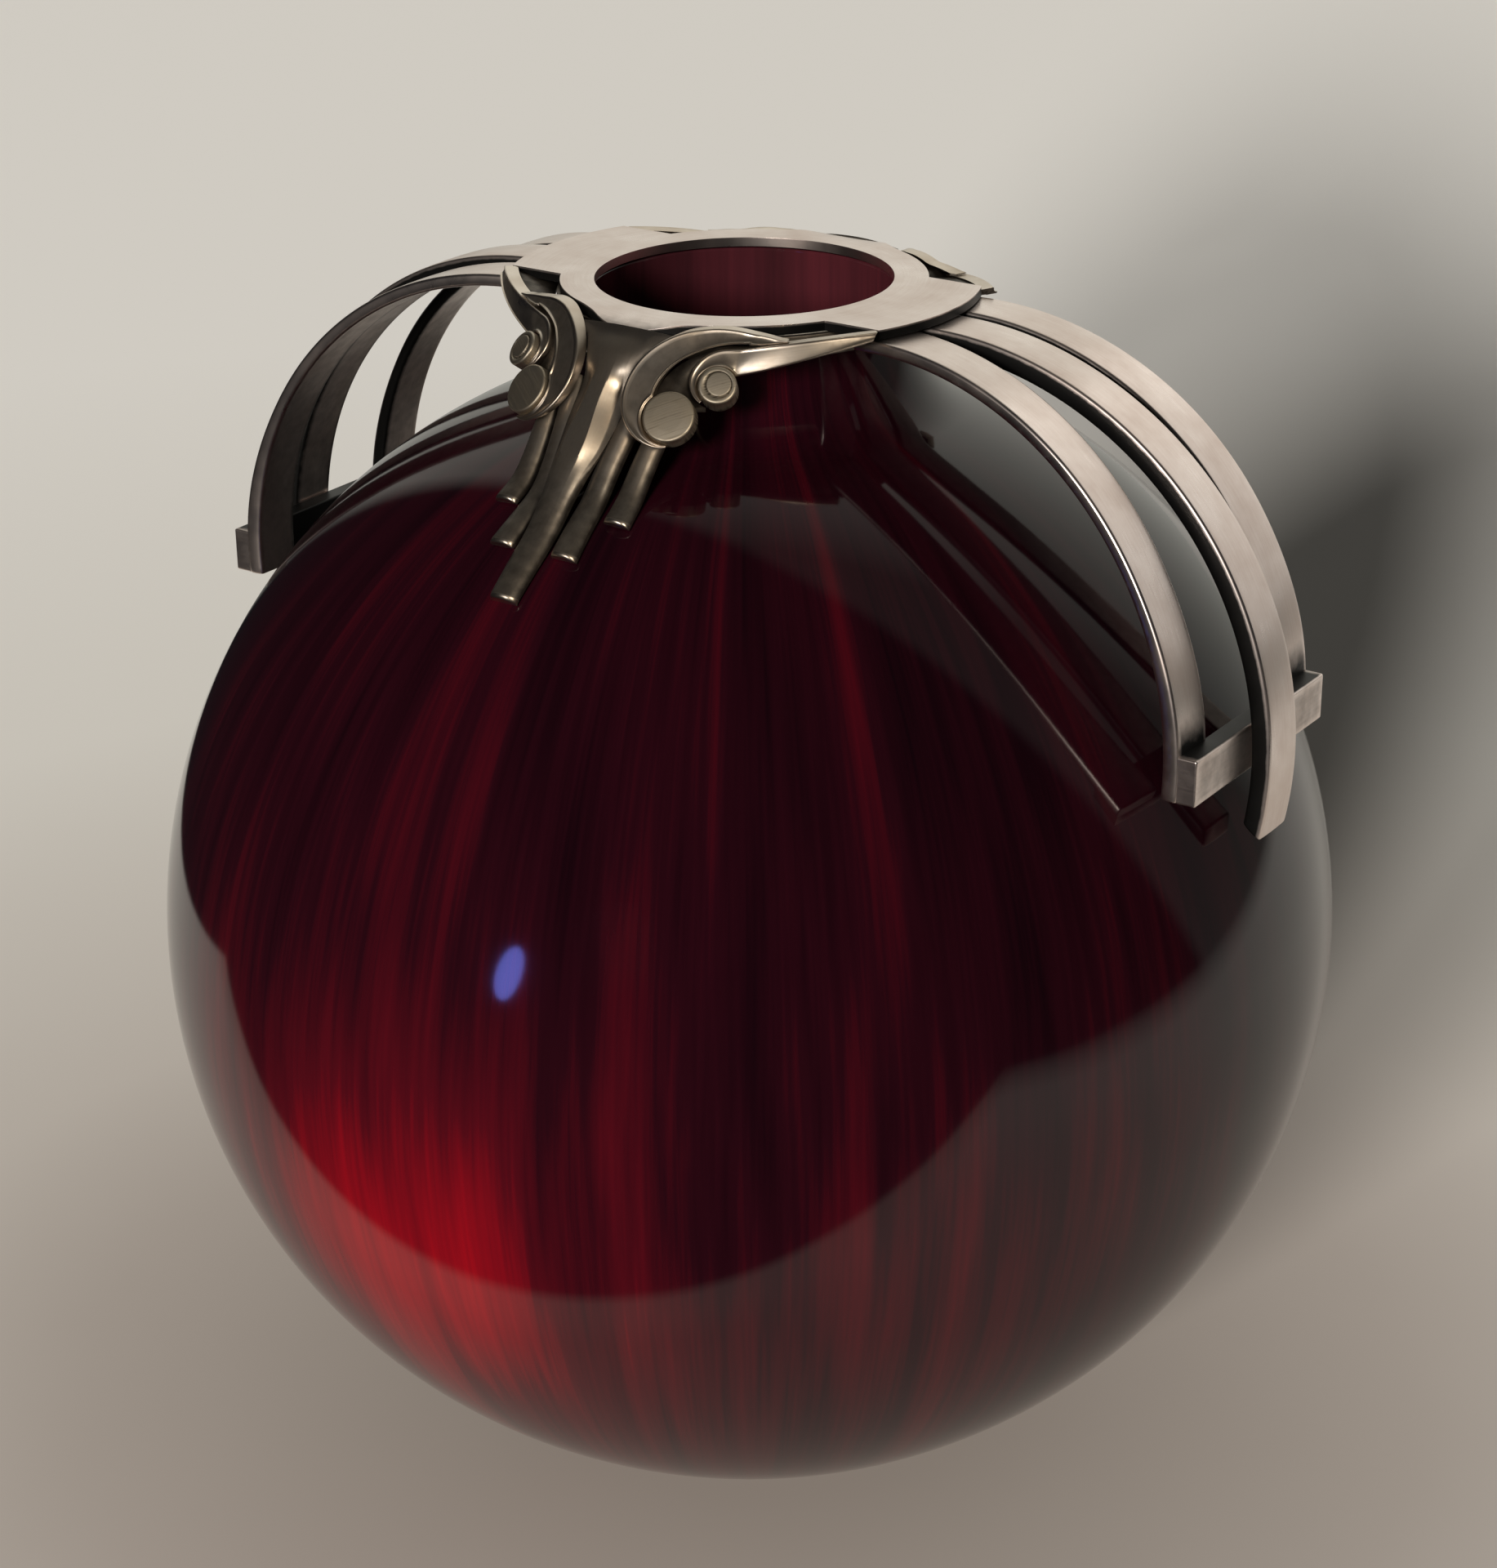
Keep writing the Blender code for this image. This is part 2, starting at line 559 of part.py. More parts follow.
# One ornament, built facing -Y and turned to its place
def build_ornament(name, turn):
    pivot = empty(f"{name}_ornament", turn)
    build_leaf(f"{name}_leaf", pivot)
    for hand, side in (("right", 1), ("left", -1)):
        build_reed(f"{name}_inner_reed_{hand}", INNER_REED_TOP, INNER_REED_TIP, side, pivot)
        build_reed(f"{name}_outer_reed_{hand}", OUTER_REED_TOP, OUTER_REED_TIP, side, pivot)
        scroll_solid(f"{name}_large_scroll_{hand}", large_scroll_edges(), side, pivot)
        scroll_solid(f"{name}_small_scroll_{hand}", small_scroll_edges(), side, pivot)
        build_eye(f"{name}_large_eye_{hand}", LARGE_EYE, LARGE_EYE_RADIUS, LARGE_EYE_DEPTH, side, pivot)
        build_eye(f"{name}_small_eye_{hand}", SMALL_EYE, SMALL_EYE_RADIUS, SMALL_EYE_DEPTH, side, pivot)


build_ball()
build_neck_fittings()
build_collar()
build_handle("right_handle", 0.0, "front", "back")
build_handle("left_handle", math.pi, "back", "front")
build_ornament("front", 0.0)
build_ornament("back", math.pi)
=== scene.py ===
# %% [markdown]
# # A ball vase with a silver-plated mount
# The vase is a thrown stoneware ball under an oxblood glaze. A mount of silver-plated bronze sits on
# its neck: a collar, two open handles, and a scroll-and-leaf ornament front and back. The solid model
# already fixes every size, so this lesson only gives each solid a finer skin and its real finish.

# %% Load the solid model
import json
import math
from functools import partial

import bmesh
import bpy
from mathutils import Matrix, Vector

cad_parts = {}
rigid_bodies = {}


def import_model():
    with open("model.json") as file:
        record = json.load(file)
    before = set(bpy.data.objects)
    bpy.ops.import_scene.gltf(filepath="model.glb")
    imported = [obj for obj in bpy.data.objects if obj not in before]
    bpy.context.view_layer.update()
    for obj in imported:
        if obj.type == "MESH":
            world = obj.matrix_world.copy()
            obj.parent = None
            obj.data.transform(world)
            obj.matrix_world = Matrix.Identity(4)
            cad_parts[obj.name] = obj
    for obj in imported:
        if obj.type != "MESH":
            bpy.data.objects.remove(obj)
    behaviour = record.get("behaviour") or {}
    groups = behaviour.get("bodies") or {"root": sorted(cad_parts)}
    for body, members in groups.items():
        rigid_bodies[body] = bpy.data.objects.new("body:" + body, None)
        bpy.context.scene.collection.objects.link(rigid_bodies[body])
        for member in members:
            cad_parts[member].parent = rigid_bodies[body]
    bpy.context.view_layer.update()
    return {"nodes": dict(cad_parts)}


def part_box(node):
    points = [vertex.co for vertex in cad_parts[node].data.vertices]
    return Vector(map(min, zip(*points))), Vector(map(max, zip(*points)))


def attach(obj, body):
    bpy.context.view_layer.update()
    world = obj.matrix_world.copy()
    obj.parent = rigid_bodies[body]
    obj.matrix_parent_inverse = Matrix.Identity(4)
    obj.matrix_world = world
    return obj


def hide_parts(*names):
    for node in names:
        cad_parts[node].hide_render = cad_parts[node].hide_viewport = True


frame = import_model()
scene = bpy.context.scene
scene.view_settings.view_transform = "Standard"
print("solid pieces:", len(frame["nodes"]))

# %% [markdown]
# ## The camera
# A photograph fixes where its camera stood. The ball's outline gives the distance, the oval of the
# mouth gives the height, and the two handles give the turn. The small tilt and roll are the hand that
# held the camera.

# %% Camera
CENTRE_HEIGHT = 0.10797     # widest ring of the ball above the table
CAMERA_TURN = math.radians(34.65)
CAMERA_RISE = math.radians(25.47)
CAMERA_DISTANCE = 0.6852
CAMERA_TILT = math.radians(1.96)
CAMERA_ROLL = math.radians(-0.47)
LENS_MM = 78.54
SENSOR_MM = 36.0
NEAREST_SEEN = 0.01

UP = Vector((0.0, 0.0, 1.0))
TOWARDS = Vector((math.sin(CAMERA_TURN), -math.cos(CAMERA_TURN), 0.0))
RIGHT = Vector((math.cos(CAMERA_TURN), math.sin(CAMERA_TURN), 0.0))

lens = bpy.data.cameras.new("camera")
lens.sensor_fit = "VERTICAL"
lens.sensor_height = SENSOR_MM
lens.lens = LENS_MM
lens.clip_start = NEAREST_SEEN
camera = bpy.data.objects.new("camera", lens)
scene.collection.objects.link(camera)
backward = TOWARDS * math.cos(CAMERA_RISE) + UP * math.sin(CAMERA_RISE)
axes = Matrix((RIGHT, backward.cross(RIGHT), backward)).transposed().to_4x4()
hand = Matrix.Rotation(CAMERA_TILT, 4, "X") @ Matrix.Rotation(CAMERA_ROLL, 4, "Z")
place = Matrix.Translation(UP * CENTRE_HEIGHT + backward * CAMERA_DISTANCE)
camera.matrix_world = place @ axes @ hand
scene.camera = camera
print("camera at", [round(value, 3) for value in camera.matrix_world.translation])

# %% [markdown]
# ## Small tools for materials
# Colours are written as sRGB hex codes, as a colour picker shows them, and shaders want linear light,
# so one function converts them. Another adds a node, sets it and wires it in a single line.

# %% Colour and node helpers
MM = 0.001
MIX_A, MIX_B, MIX_RESULT = 6, 7, 2      # a colour mix's sockets, which share their names with others


def linear(code):
    """Turns an sRGB hex colour into linear red, green, blue and alpha."""
    channels = [int(code[i:i + 2], 16) / 255 for i in (1, 3, 5)]
    light = [c / 12.92 if c <= 0.04045 else ((c + 0.055) / 1.055) ** 2.4 for c in channels]
    return (*light, 1.0)


def wire(node, inputs):
    """Feeds a node's inputs, by name or in order, with values, sockets, or nodes for their first socket."""
    for name, value in inputs.items() if isinstance(inputs, dict) else enumerate(inputs):
        if isinstance(value, bpy.types.Node):
            value = value.outputs[0]
        if isinstance(value, bpy.types.NodeSocket):
            node.id_data.links.new(value, node.inputs[name])
        else:
            node.inputs[name].default_value = value


def add_node(tree, kind, inputs=(), stops=(), **settings):
    """Adds a node, sets it and wires it; stops are the places and colours of a colour ramp."""
    node = tree.nodes.new(f"ShaderNode{kind}")
    for name, value in settings.items():
        setattr(node, name, value)
    wire(node, inputs)
    for index, (position, colour) in enumerate(stops):
        if index > 1:
            node.color_ramp.elements.new(position)
        node.color_ramp.elements[index].position = position
        node.color_ramp.elements[index].color = linear(colour)
    return node


def new_material(name):
    """A material, what adds a node to it, and its Principled shader."""
    material = bpy.data.materials.new(name)
    material.use_nodes = True
    tree = material.node_tree
    return material, partial(add_node, tree), tree.nodes["Principled BSDF"]


print("oxblood in linear light:", [round(value, 4) for value in linear("#5c0a14")])

# %% [markdown]
# ## Oxblood glaze on stoneware
# Copper-red glaze melts and runs down the pot in the kiln. It stays thin and almost black on the
# shoulder, and gathers into a clear red lower down, so the colour breaks into long thin streaks that
# follow the fall of the wall. The streaks are a noise pattern that is narrow round the pot and long
# from top to bottom. Painted light makes the red brightest low on the walls that face front and back,
# and painted shade darkens the sides under the handles. A fired glaze is a glass, with an IOR near 1.5
# and a wet gloss.

# %% Oxblood glaze
BALL_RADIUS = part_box("vase_body")[1].x
MOUTH_RADIUS = 0.0283
GLAZE_IOR = 1.47
GLAZE_ROUGHNESS = (0.05, 0.09)
RUNS = ((0.9 * MM, 28 * MM, 0.16), (2.4 * MM, 45 * MM, 0.22), (6 * MM, 70 * MM, 0.36),
        (17 * MM, 150 * MM, 0.55))   # width, length and strength of each size of streak
RIPPLE_SIZE = 30 * MM
RIPPLE_DEPTH = 0.25 * MM
RIPPLE_STRENGTH = 0.35
GLAZE_SIDE_SHADE = 0.14        # painted shade: the glaze is drawn darker on the sides, under the handles
GLAZE_SHADED_SIDES = (0.1, 0.9)  # how squarely a wall faces front or back where that painted shade begins and ends
PAINTED_LIGHT_FACING = (0.93, 1.0)   # how squarely a wall must face them to run bright red, which is painted light
PAINTED_LIGHT_LEAST = 0.10
POOLED = (0.150, 0.070)     # heights between which the glaze gathers
DRAINED = (0.026, 0.088)    # heights between which it thins out again
DRAINED_LEAST = 0.30
DEPTH_STOPS = (0.0, 0.20, 0.45, 0.70, 1.0)   # from a thin film to a deep pool


def oxblood(name, radius, thin, pooled_and_lit, colours):
    """Glaze that is dark where thin and red where pooled, streaked for a wall of one radius, with painted
    light on walls that face front and back and painted shade on the sides.
    """
    material, add, glass = new_material(name)
    where = add("TexCoord").outputs["Object"]
    flat = add("VectorMath", (where, (1, 1, 0)), operation="MULTIPLY")
    facing = add("VectorMath", (flat,), operation="NORMALIZE")
    height = add("SeparateXYZ", (where,)).outputs["Z"]
    frontal = add("SeparateXYZ", (facing,)).outputs["Y"]
    squarely = add("Math", (frontal,), operation="ABSOLUTE")
    red = None
    # Painted light: the red runs brightest low on walls that face front and back, on top of the pooling by
    # height.
    for value, span, least, most in ((squarely, PAINTED_LIGHT_FACING, PAINTED_LIGHT_LEAST, pooled_and_lit),
                                     (height, POOLED, 0.0, 1.0), (height, DRAINED, DRAINED_LEAST, 1.0)):
        step = add("MapRange", (value, *span, least, most), interpolation_type="SMOOTHSTEP")
        red = step if red is None else add("Math", (red, step), operation="MULTIPLY")
    # Painted shade: the film is drawn darker on the sides under the handles.
    film = add("MapRange", (squarely, *GLAZE_SHADED_SIDES, thin - GLAZE_SIDE_SHADE, thin))
    red = add("Math", (red, film), operation="ADD")
    for width, length, share in RUNS:
        turns = radius / width
        spread = add("VectorMath", (facing, (turns, turns, 0)), operation="MULTIPLY")
        drop = add("VectorMath", (where, (0, 0, 1 / length)), operation="MULTIPLY")
        fall = add("VectorMath", (spread, drop), operation="ADD")
        run = add("TexNoise", {"Vector": fall, "Scale": 1.0, "Detail": 2.0})
        swing = add("Math", (run, 0.5), operation="SUBTRACT")
        red = add("Math", (swing, share, red), operation="MULTIPLY_ADD")
    colour = add("ValToRGB", {"Fac": red}, stops=zip(DEPTH_STOPS, colours))
    ripple = add("TexNoise", {"Vector": where, "Scale": 1 / RIPPLE_SIZE, "Detail": 1.0})
    bump = add("Bump", {"Height": ripple, "Strength": RIPPLE_STRENGTH, "Distance": RIPPLE_DEPTH})
    gloss = add("MapRange", (run, 0.0, 1.0, *GLAZE_ROUGHNESS))
    wire(glass, {"Base Color": colour, "IOR": GLAZE_IOR, "Roughness": gloss, "Normal": bump})
    return material


# Outside, the eye sees a wet, near-black red that clears to blood red low on the front, partly pooled glaze
# and partly painted light.
outer_glaze = oxblood("oxblood_glaze_fired_outside", BALL_RADIUS, 0.20, 0.50,
                      ("#14040a", "#260710", "#4c0a15", "#820b18", "#ae0e1a"))
# Inside the mouth it is an even, duller wine red, paler and greyer than outside: partly thinner glaze,
# partly painted light and sheen.
inner_glaze = oxblood("oxblood_glaze_fired_inside", MOUTH_RADIUS, 0.40, 0.0,
                      ("#231215", "#33181c", "#471e24", "#5f262d", "#763038"))
print("streaks round the ball:", round(2 * math.pi * BALL_RADIUS / RUNS[2][0]))

# %% [markdown]
# ## Bare stoneware and plaster
# A potter wipes the foot ring clean, or the glaze would weld the pot to the kiln shelf. The fired clay
# there is buff and gritty. The bed of plaster that holds the mount on the neck is white and chalky.

# %% Bare clay and plaster
GRIT_DEPTH = 0.1 * MM
GRIT_STOPS = (0.35, 0.65)


def gritty(name, grit, colours, rough):
    """A dry matt material with grains of one size, dark and pale."""
    material, add, shader = new_material(name)
    where = add("TexCoord").outputs["Object"]
    grains = add("TexNoise", {"Vector": where, "Scale": 1 / grit, "Detail": 4.0})
    colour = add("ValToRGB", {"Fac": grains}, stops=zip(GRIT_STOPS, colours))
    bump = add("Bump", {"Height": grains, "Distance": GRIT_DEPTH})
    wire(shader, {"Base Color": colour, "Normal": bump, "Roughness": rough})
    return material


# The clay gives a dry buff ring, and the plaster a chalky white.
bare_stoneware = gritty("bare_stoneware_wiped", 0.9 * MM, ("#8a6f57", "#b99d80"), 0.9)
plaster = gritty("plaster_poured", 0.7 * MM, ("#c9bfae", "#e0d8c9"), 0.95)
print("dry materials:", bare_stoneware.name, plaster.name)

# %% [markdown]
# ## Silver plate on bronze
# Silver-plated bronze is brushed, then darkened with liver of sulphur and rubbed back, so raised edges
# shine and hollows stay grey. Two values ride on the meshes for this: grain, which is the distance
# along and across a piece in metres, and patina, which is 1 in a hollow and 0 on a rubbed edge, and
# which also carries painted shade on faces that lie in shadow. The hairs of the brushing are drawn a
# little coarser than real ones, which are too fine for the picture.

# %% Silver plate
HAIR_LENGTH = 9 * MM
HAIR_STRENGTH = 0.5
HAIR_TONE = 0.35            # how much the hairs colour the metal, beside the blotches
BLOTCH_SIZE = 13 * MM
BLOTCH_DEPTH = 0.12 * MM
BLOTCH_STRENGTH = 0.2
WORN_SIZE = 2.2 * MM
WEAR = 0.5                  # how far rubbing breaks up the patina
PATINA_START = 0.12         # a fainter patina is rubbed off
PATINA_METALLIC = 0.8       # a film of sulphide is less metallic than silver
PATINA_DULLING = 0.15       # and this much rougher
TONE_STOPS = (0.45, 0.90)
SATIN_TONES = (0.4, 0.95)
SMOOTHER, ROUGHER = 0.07, 0.09   # how far the roughness strays with the tone


def silver_plate(name, bright, warm, sulphide_and_shade, roughness, hair_width, hair_depth, hatch=0.0):
    """Brushed silver plate with warm blotches, and sulphide where patina or painted shade is high, or
    hatching is dense.
    """
    material, add, shader = new_material(name)
    grain = add("Attribute", attribute_name="grain").outputs["Vector"]
    patina_and_shade = add("Attribute", attribute_name="patina_and_shade").outputs["Fac"]
    where = add("TexCoord").outputs["Object"]
    brush = add("VectorMath", (grain, (1 / HAIR_LENGTH, 1 / hair_width, 0)), operation="MULTIPLY")
    hairs = add("TexNoise", {"Vector": brush, "Scale": 1.0, "Detail": 3.0})
    blotch = add("TexNoise", {"Vector": where, "Scale": 1 / BLOTCH_SIZE, "Detail": 5.0, "Roughness": 0.6})
    worn = add("TexNoise", {"Vector": where, "Scale": 1 / WORN_SIZE, "Detail": 4.0})
    tone = add("Math", (hairs, HAIR_TONE, blotch), operation="MULTIPLY_ADD")
    metal = add("ValToRGB", {"Fac": tone}, stops=zip(TONE_STOPS, (bright, warm)))
    # Patina here also carries the painted shade written on the meshes.
    dark = patina_and_shade
    for pattern, share in ((worn, WEAR), (hairs, hatch)):
        swing = add("Math", (pattern, 0.5), operation="SUBTRACT")
        dark = add("Math", (swing, share, dark), operation="MULTIPLY_ADD")
    hollow = add("MapRange", (dark, PATINA_START))
    colour = add("Mix", {0: hollow, MIX_A: metal, MIX_B: linear(sulphide_and_shade)}, data_type="RGBA")
    film = add("MapRange", (hollow, 0.0, 1.0, 1.0, PATINA_METALLIC))
    satin = add("MapRange", (tone, *SATIN_TONES, roughness - SMOOTHER, roughness + ROUGHER))
    matt = add("Math", (hollow, PATINA_DULLING, satin), operation="MULTIPLY_ADD")
    bump = add("Bump", {"Height": hairs, "Strength": HAIR_STRENGTH, "Distance": hair_depth})
    beaten = add("Bump", {"Height": blotch, "Strength": BLOTCH_STRENGTH, "Distance": BLOTCH_DEPTH,
                          "Normal": bump})
    wire(shader, {"Base Color": colour.outputs[MIX_RESULT], "Metallic": film, "Roughness": matt,
                  "Normal": beaten})
    return material


# Sheet gives a pale rosy satin, near-black in its recesses and where shade is painted.
plated_sheet = silver_plate("silver_plated_bronze_brushed", "#e8dcd6", "#d6c5bc", "#1e1d1c",
                            0.30, 0.45 * MM, 0.006 * MM)
# Castings are warmer, and stay a soft brown-grey in their hollows and where shade is painted.
plated_casting = silver_plate("silver_plated_bronze_cast", "#e2d7ca", "#c6b6a4", "#4f4943",
                              0.32, 0.45 * MM, 0.008 * MM)
# The bosses are dull, with the short dark strokes of a graver.
plated_boss = silver_plate("silver_plated_bronze_hatched", "#dcd2c2", "#c4b6a0", "#4d463d",
                           0.46, 0.30 * MM, 0.02 * MM, 2.4)
print("metal finishes:", plated_sheet.name, plated_casting.name, plated_boss.name)

# %% [markdown]
# ## From rows of points to a skin
# Every piece here is a run of cross-sections. One function joins neighbouring points into faces, caps
# the ends and keeps grain and patina, painted shade included, on the points. A Bevel modifier then
# rounds the hard edges, as a file and a polishing wheel do, and Weighted Normal keeps the flat faces
# flat to the eye.

# %% Skin and dress
SHARP_EDGE = math.radians(38)
BEVEL_SEGMENTS = 3


def skin(name, rows, closed=False):
    """A mesh through rows of (place, across, patina and painted shade). A row of one point is a pole."""
    bm = bmesh.new()
    grain = bm.verts.layers.float_vector.new("grain")
    patina_and_shade = bm.verts.layers.float.new("patina_and_shade")
    rings = []
    along = 0.0
    for index, row in enumerate(rows):
        if index:
            along += (Vector(row[0][0]) - Vector(rows[index - 1][0][0])).length
        ring = []
        for spot, across, dark in row:
            vert = bm.verts.new(spot)
            vert[grain] = (along, across, 0.0)
            vert[patina_and_shade] = dark
            ring.append(vert)
        rings.append(ring)
    pairs = list(zip(rings, rings[1:]))
    if closed:
        pairs.append((rings[-1], rings[0]))
    for ring, following in pairs:
        count = max(len(ring), len(following))
        for i in range(count):
            j = (i + 1) % count
            corners = (ring[i % len(ring)], ring[j % len(ring)],
                       following[j % len(following)], following[i % len(following)])
            bm.faces.new(list(dict.fromkeys(corners)))
    if not closed:
        for ring in (rings[0], rings[-1]):
            if len(ring) > 2:
                bm.faces.new(ring)
    bmesh.ops.recalc_face_normals(bm, faces=bm.faces)
    mesh = bpy.data.meshes.new(name)
    bm.to_mesh(mesh)
    bm.free()
    mesh.shade_smooth()
    return mesh


def dress(node, rows, material, edge, closed=False):
    """Puts a skin in place of its solid, with its hard edges rounded."""
    mesh = skin(f"{node}_finish", rows, closed)
    piece = bpy.data.objects.new(f"{node}_finish", mesh)
    scene.collection.objects.link(piece)
    mesh.materials.append(material)
    bevel = piece.modifiers.new("filed_edges", "BEVEL")
    bevel.width = edge
    bevel.segments = BEVEL_SEGMENTS
    bevel.limit_method = "ANGLE"
    bevel.angle_limit = SHARP_EDGE
    piece.modifiers.new("even_light", "WEIGHTED_NORMAL")
    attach(piece, "root")
    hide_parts(node)
    return piece


def ease(value, low, high):
    """0 below low, 1 above high and a smooth step between."""
    share = min(1.0, max(0.0, (value - low) / (high - low)))
    return share * share * (3 - 2 * share)


def mix(first, second, share):
    """The value at a share of the way from first to second."""
    return first + (second - first) * share


print("edges sharper than", round(math.degrees(SHARP_EDGE)), "degrees are rounded")

# %% [markdown]
# ## The stoneware ball
# A thrown pot is round about its axis, so its shape is one profile turned full circle. The profile runs
# up the inside, over the lip, down the cove of the neck and round the ball to the foot ring.

# %% Stoneware ball
GAP = 0.3 * MM
BALL_RISE = 0.1133
BALL_DROP = 0.1127
BALL_WALL = 0.006
FOOT_RADIUS = 0.038
FOOT_RING_WIDTH = 0.007
FOOT_RECESS = 0.0025
NECK_RADIUS = 0.032
NECK_WALL = 0.0037
NECK_COVE = 0.0172
LIP_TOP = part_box("vase_body")[1].z
LIP_EDGE = 0.6 * MM
TURNED_STEPS = 160
COVE_STEPS = 14
INSIDE_STEPS = 24
OUTSIDE_STEPS = 36
HALVINGS = 50
POLE_RADIUS = 0.01 * MM


def arc(centre, across, rise, start, end, steps):
    """Points of an elliptical arc, with angles from straight up towards +X."""
    angles = [start + (end - start) * i / steps for i in range(steps + 1)]
    return [(centre[0] + across * math.sin(a), centre[1] + rise * math.cos(a)) for a in angles]


def neck_cove(neck, cove, radius, rise):
    """The cove from an upright neck to the ball, and the angle where it lands on the ball."""
    low, high = 0.0, math.pi / 2
    for _ in range(HALVINGS):
        landing = (low + high) / 2
        normal = Vector((math.sin(landing) / radius, math.cos(landing) / rise)).normalized()
        if radius * math.sin(landing) + cove * normal.x < neck + cove:
            low = landing
        else:
            high = landing
    hub = (neck + cove, CENTRE_HEIGHT + rise * math.cos(landing) + cove * normal.y)
    end = math.atan2(-normal.x, -normal.y)
    if end > 0:
        end -= 2 * math.pi
    return arc(hub, cove, cove, -math.pi / 2, end, COVE_STEPS), landing


def turned(profile, patina_and_shade=0.0):
    """Rows of (radius, height) points turned full circle."""
    rows = []
    for radius, level in profile:
        if radius < POLE_RADIUS:
            rows.append([((0.0, 0.0, level), 0.0, patina_and_shade)])
            continue
        angles = [2 * math.pi * i / TURNED_STEPS for i in range(TURNED_STEPS)]
        rows.append([((radius * math.cos(a), radius * math.sin(a), level), radius * a, patina_and_shade)
                     for a in angles])
    return rows


inner = (BALL_RADIUS - BALL_WALL, BALL_RISE - BALL_WALL, BALL_DROP - BALL_WALL)
inner_cove, inner_landing = neck_cove(MOUTH_RADIUS, NECK_COVE + NECK_WALL, inner[0], inner[1])
outer_cove, outer_landing = neck_cove(NECK_RADIUS, NECK_COVE, BALL_RADIUS, BALL_RISE)
middle = (0.0, CENTRE_HEIGHT)
foot_angle = math.pi - math.asin(FOOT_RADIUS / BALL_RADIUS)
recess = FOOT_RADIUS - FOOT_RING_WIDTH
profile = arc(middle, inner[0], inner[2], math.pi, math.pi / 2, INSIDE_STEPS)
profile += arc(middle, inner[0], inner[1], math.pi / 2, inner_landing, INSIDE_STEPS)[1:]
profile += inner_cove[::-1][1:] + [(MOUTH_RADIUS, LIP_TOP)]
inside_faces = (len(profile) - 1) * TURNED_STEPS
profile += [(NECK_RADIUS, LIP_TOP)] + outer_cove
profile += arc(middle, BALL_RADIUS, BALL_RISE, outer_landing, math.pi / 2, OUTSIDE_STEPS)[1:]
profile += arc(middle, BALL_RADIUS, BALL_DROP, math.pi / 2, foot_angle, OUTSIDE_STEPS)[1:]
profile += [(FOOT_RADIUS, 0.0), (recess, 0.0), (recess, FOOT_RECESS), (0.0, FOOT_RECESS)]
ball = dress("vase_body", turned(profile), outer_glaze, LIP_EDGE)
for material in (bare_stoneware, inner_glaze):
    ball.data.materials.append(material)
for face in ball.data.polygons:
    if face.center.z < FOOT_RECESS and math.hypot(face.center.x, face.center.y) < FOOT_RADIUS + MM:
        face.material_index = 1
    elif face.index < inside_faces:
        face.material_index = 2
print("ball faces:", len(ball.data.polygons))

# %% [markdown]
# ## Sleeve and plaster
# The mount grips the neck with a short metal sleeve, bedded in plaster. Both are rings under the collar,
# seen only in the notches beside the arms, so they are simple, and the sleeve is painted dark as shade.

# %% Sleeve and plaster
PLASTER_WALL = 0.001
SLEEVE_WALL = 0.0012
# painted shade: the sleeve lies in shadow under the collar, so its metal is drawn dark
SLEEVE_PAINTED_SHADE = 0.8
RING_EDGE = 0.15 * MM
for node, wall, dark, material, slot in (
        ("neck_plaster", PLASTER_WALL, 0.0, plaster, "plaster"),
        ("neck_sleeve", SLEEVE_WALL, SLEEVE_PAINTED_SHADE, plated_casting, "silver")):
    low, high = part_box(node)
    ring = [(high.x - wall, high.z), (high.x, high.z), (high.x, low.z), (high.x - wall, low.z)]
    dress(node, turned(ring, dark), material, RING_EDGE, closed=True)
SLEEVE_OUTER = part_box("neck_sleeve")[1].x
print("sleeve radius in mm:", round(SLEEVE_OUTER / MM, 2))

# %% [markdown]
# ## The collar
# The collar is a ring of sheet with two broad arms for the handles and two tongues for the ornaments.
# Seen from above, its edge is one radius for each angle, so it can be laid out like a turned piece
# whose radius changes on the way round. The tongues roll over a little at their tips, where painted
# shade darkens them, and the cut edge all round is painted dark as shade.

# %% Collar
COLLAR_HOLE_RADIUS = 0.0278
RING_RADIUS = SLEEVE_OUTER + 0.0006
NOTCH_RADIUS = RING_RADIUS - 0.0012
ARM_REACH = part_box("collar_plate")[1].x
ARM_HALF_WIDTH = 0.0175
TONGUE_REACH = 0.0022
TONGUE_HALF_ANGLE = math.radians(26)
TONGUE_SIDES = 0.8          # sine of the angle past which an edge belongs to a tongue
TONGUE_ROLL = 0.0012
COLLAR_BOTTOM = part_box("collar_plate")[0].z
COLLAR_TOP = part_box("collar_plate")[1].z
COLLAR_STEPS = 240
COLLAR_RADIAL_STEPS = 6
COLLAR_EDGE = 0.35 * MM
EDGE_SLANT = MM / 10        # the upper half of the cut edge leans in this far
EDGE_SHOULDER = MM / 2
HOLE_PATINA = 0.1
# painted shade on the tongues' rolled tips and on the cut edges
ROLL_PAINTED_SHADE = 0.7
CUT_PAINTED_SHADE = 1.2


def collar_edge(angle):
    """Radius of the collar's edge: arm, side of the arm, ring or tongue."""
    off_arm = math.asin(abs(math.sin(angle)))
    if off_arm <= math.asin(ARM_HALF_WIDTH / ARM_REACH):
        return ARM_REACH
    if off_arm <= math.asin(ARM_HALF_WIDTH / NOTCH_RADIUS):
        return ARM_HALF_WIDTH / math.sin(off_arm)
    off_tongue = min(1.0, (math.pi / 2 - off_arm) / TONGUE_HALF_ANGLE)
    reach = RING_RADIUS + TONGUE_REACH - NOTCH_RADIUS
    return NOTCH_RADIUS + reach * (math.cos(math.pi * off_tongue) + 1) / 2


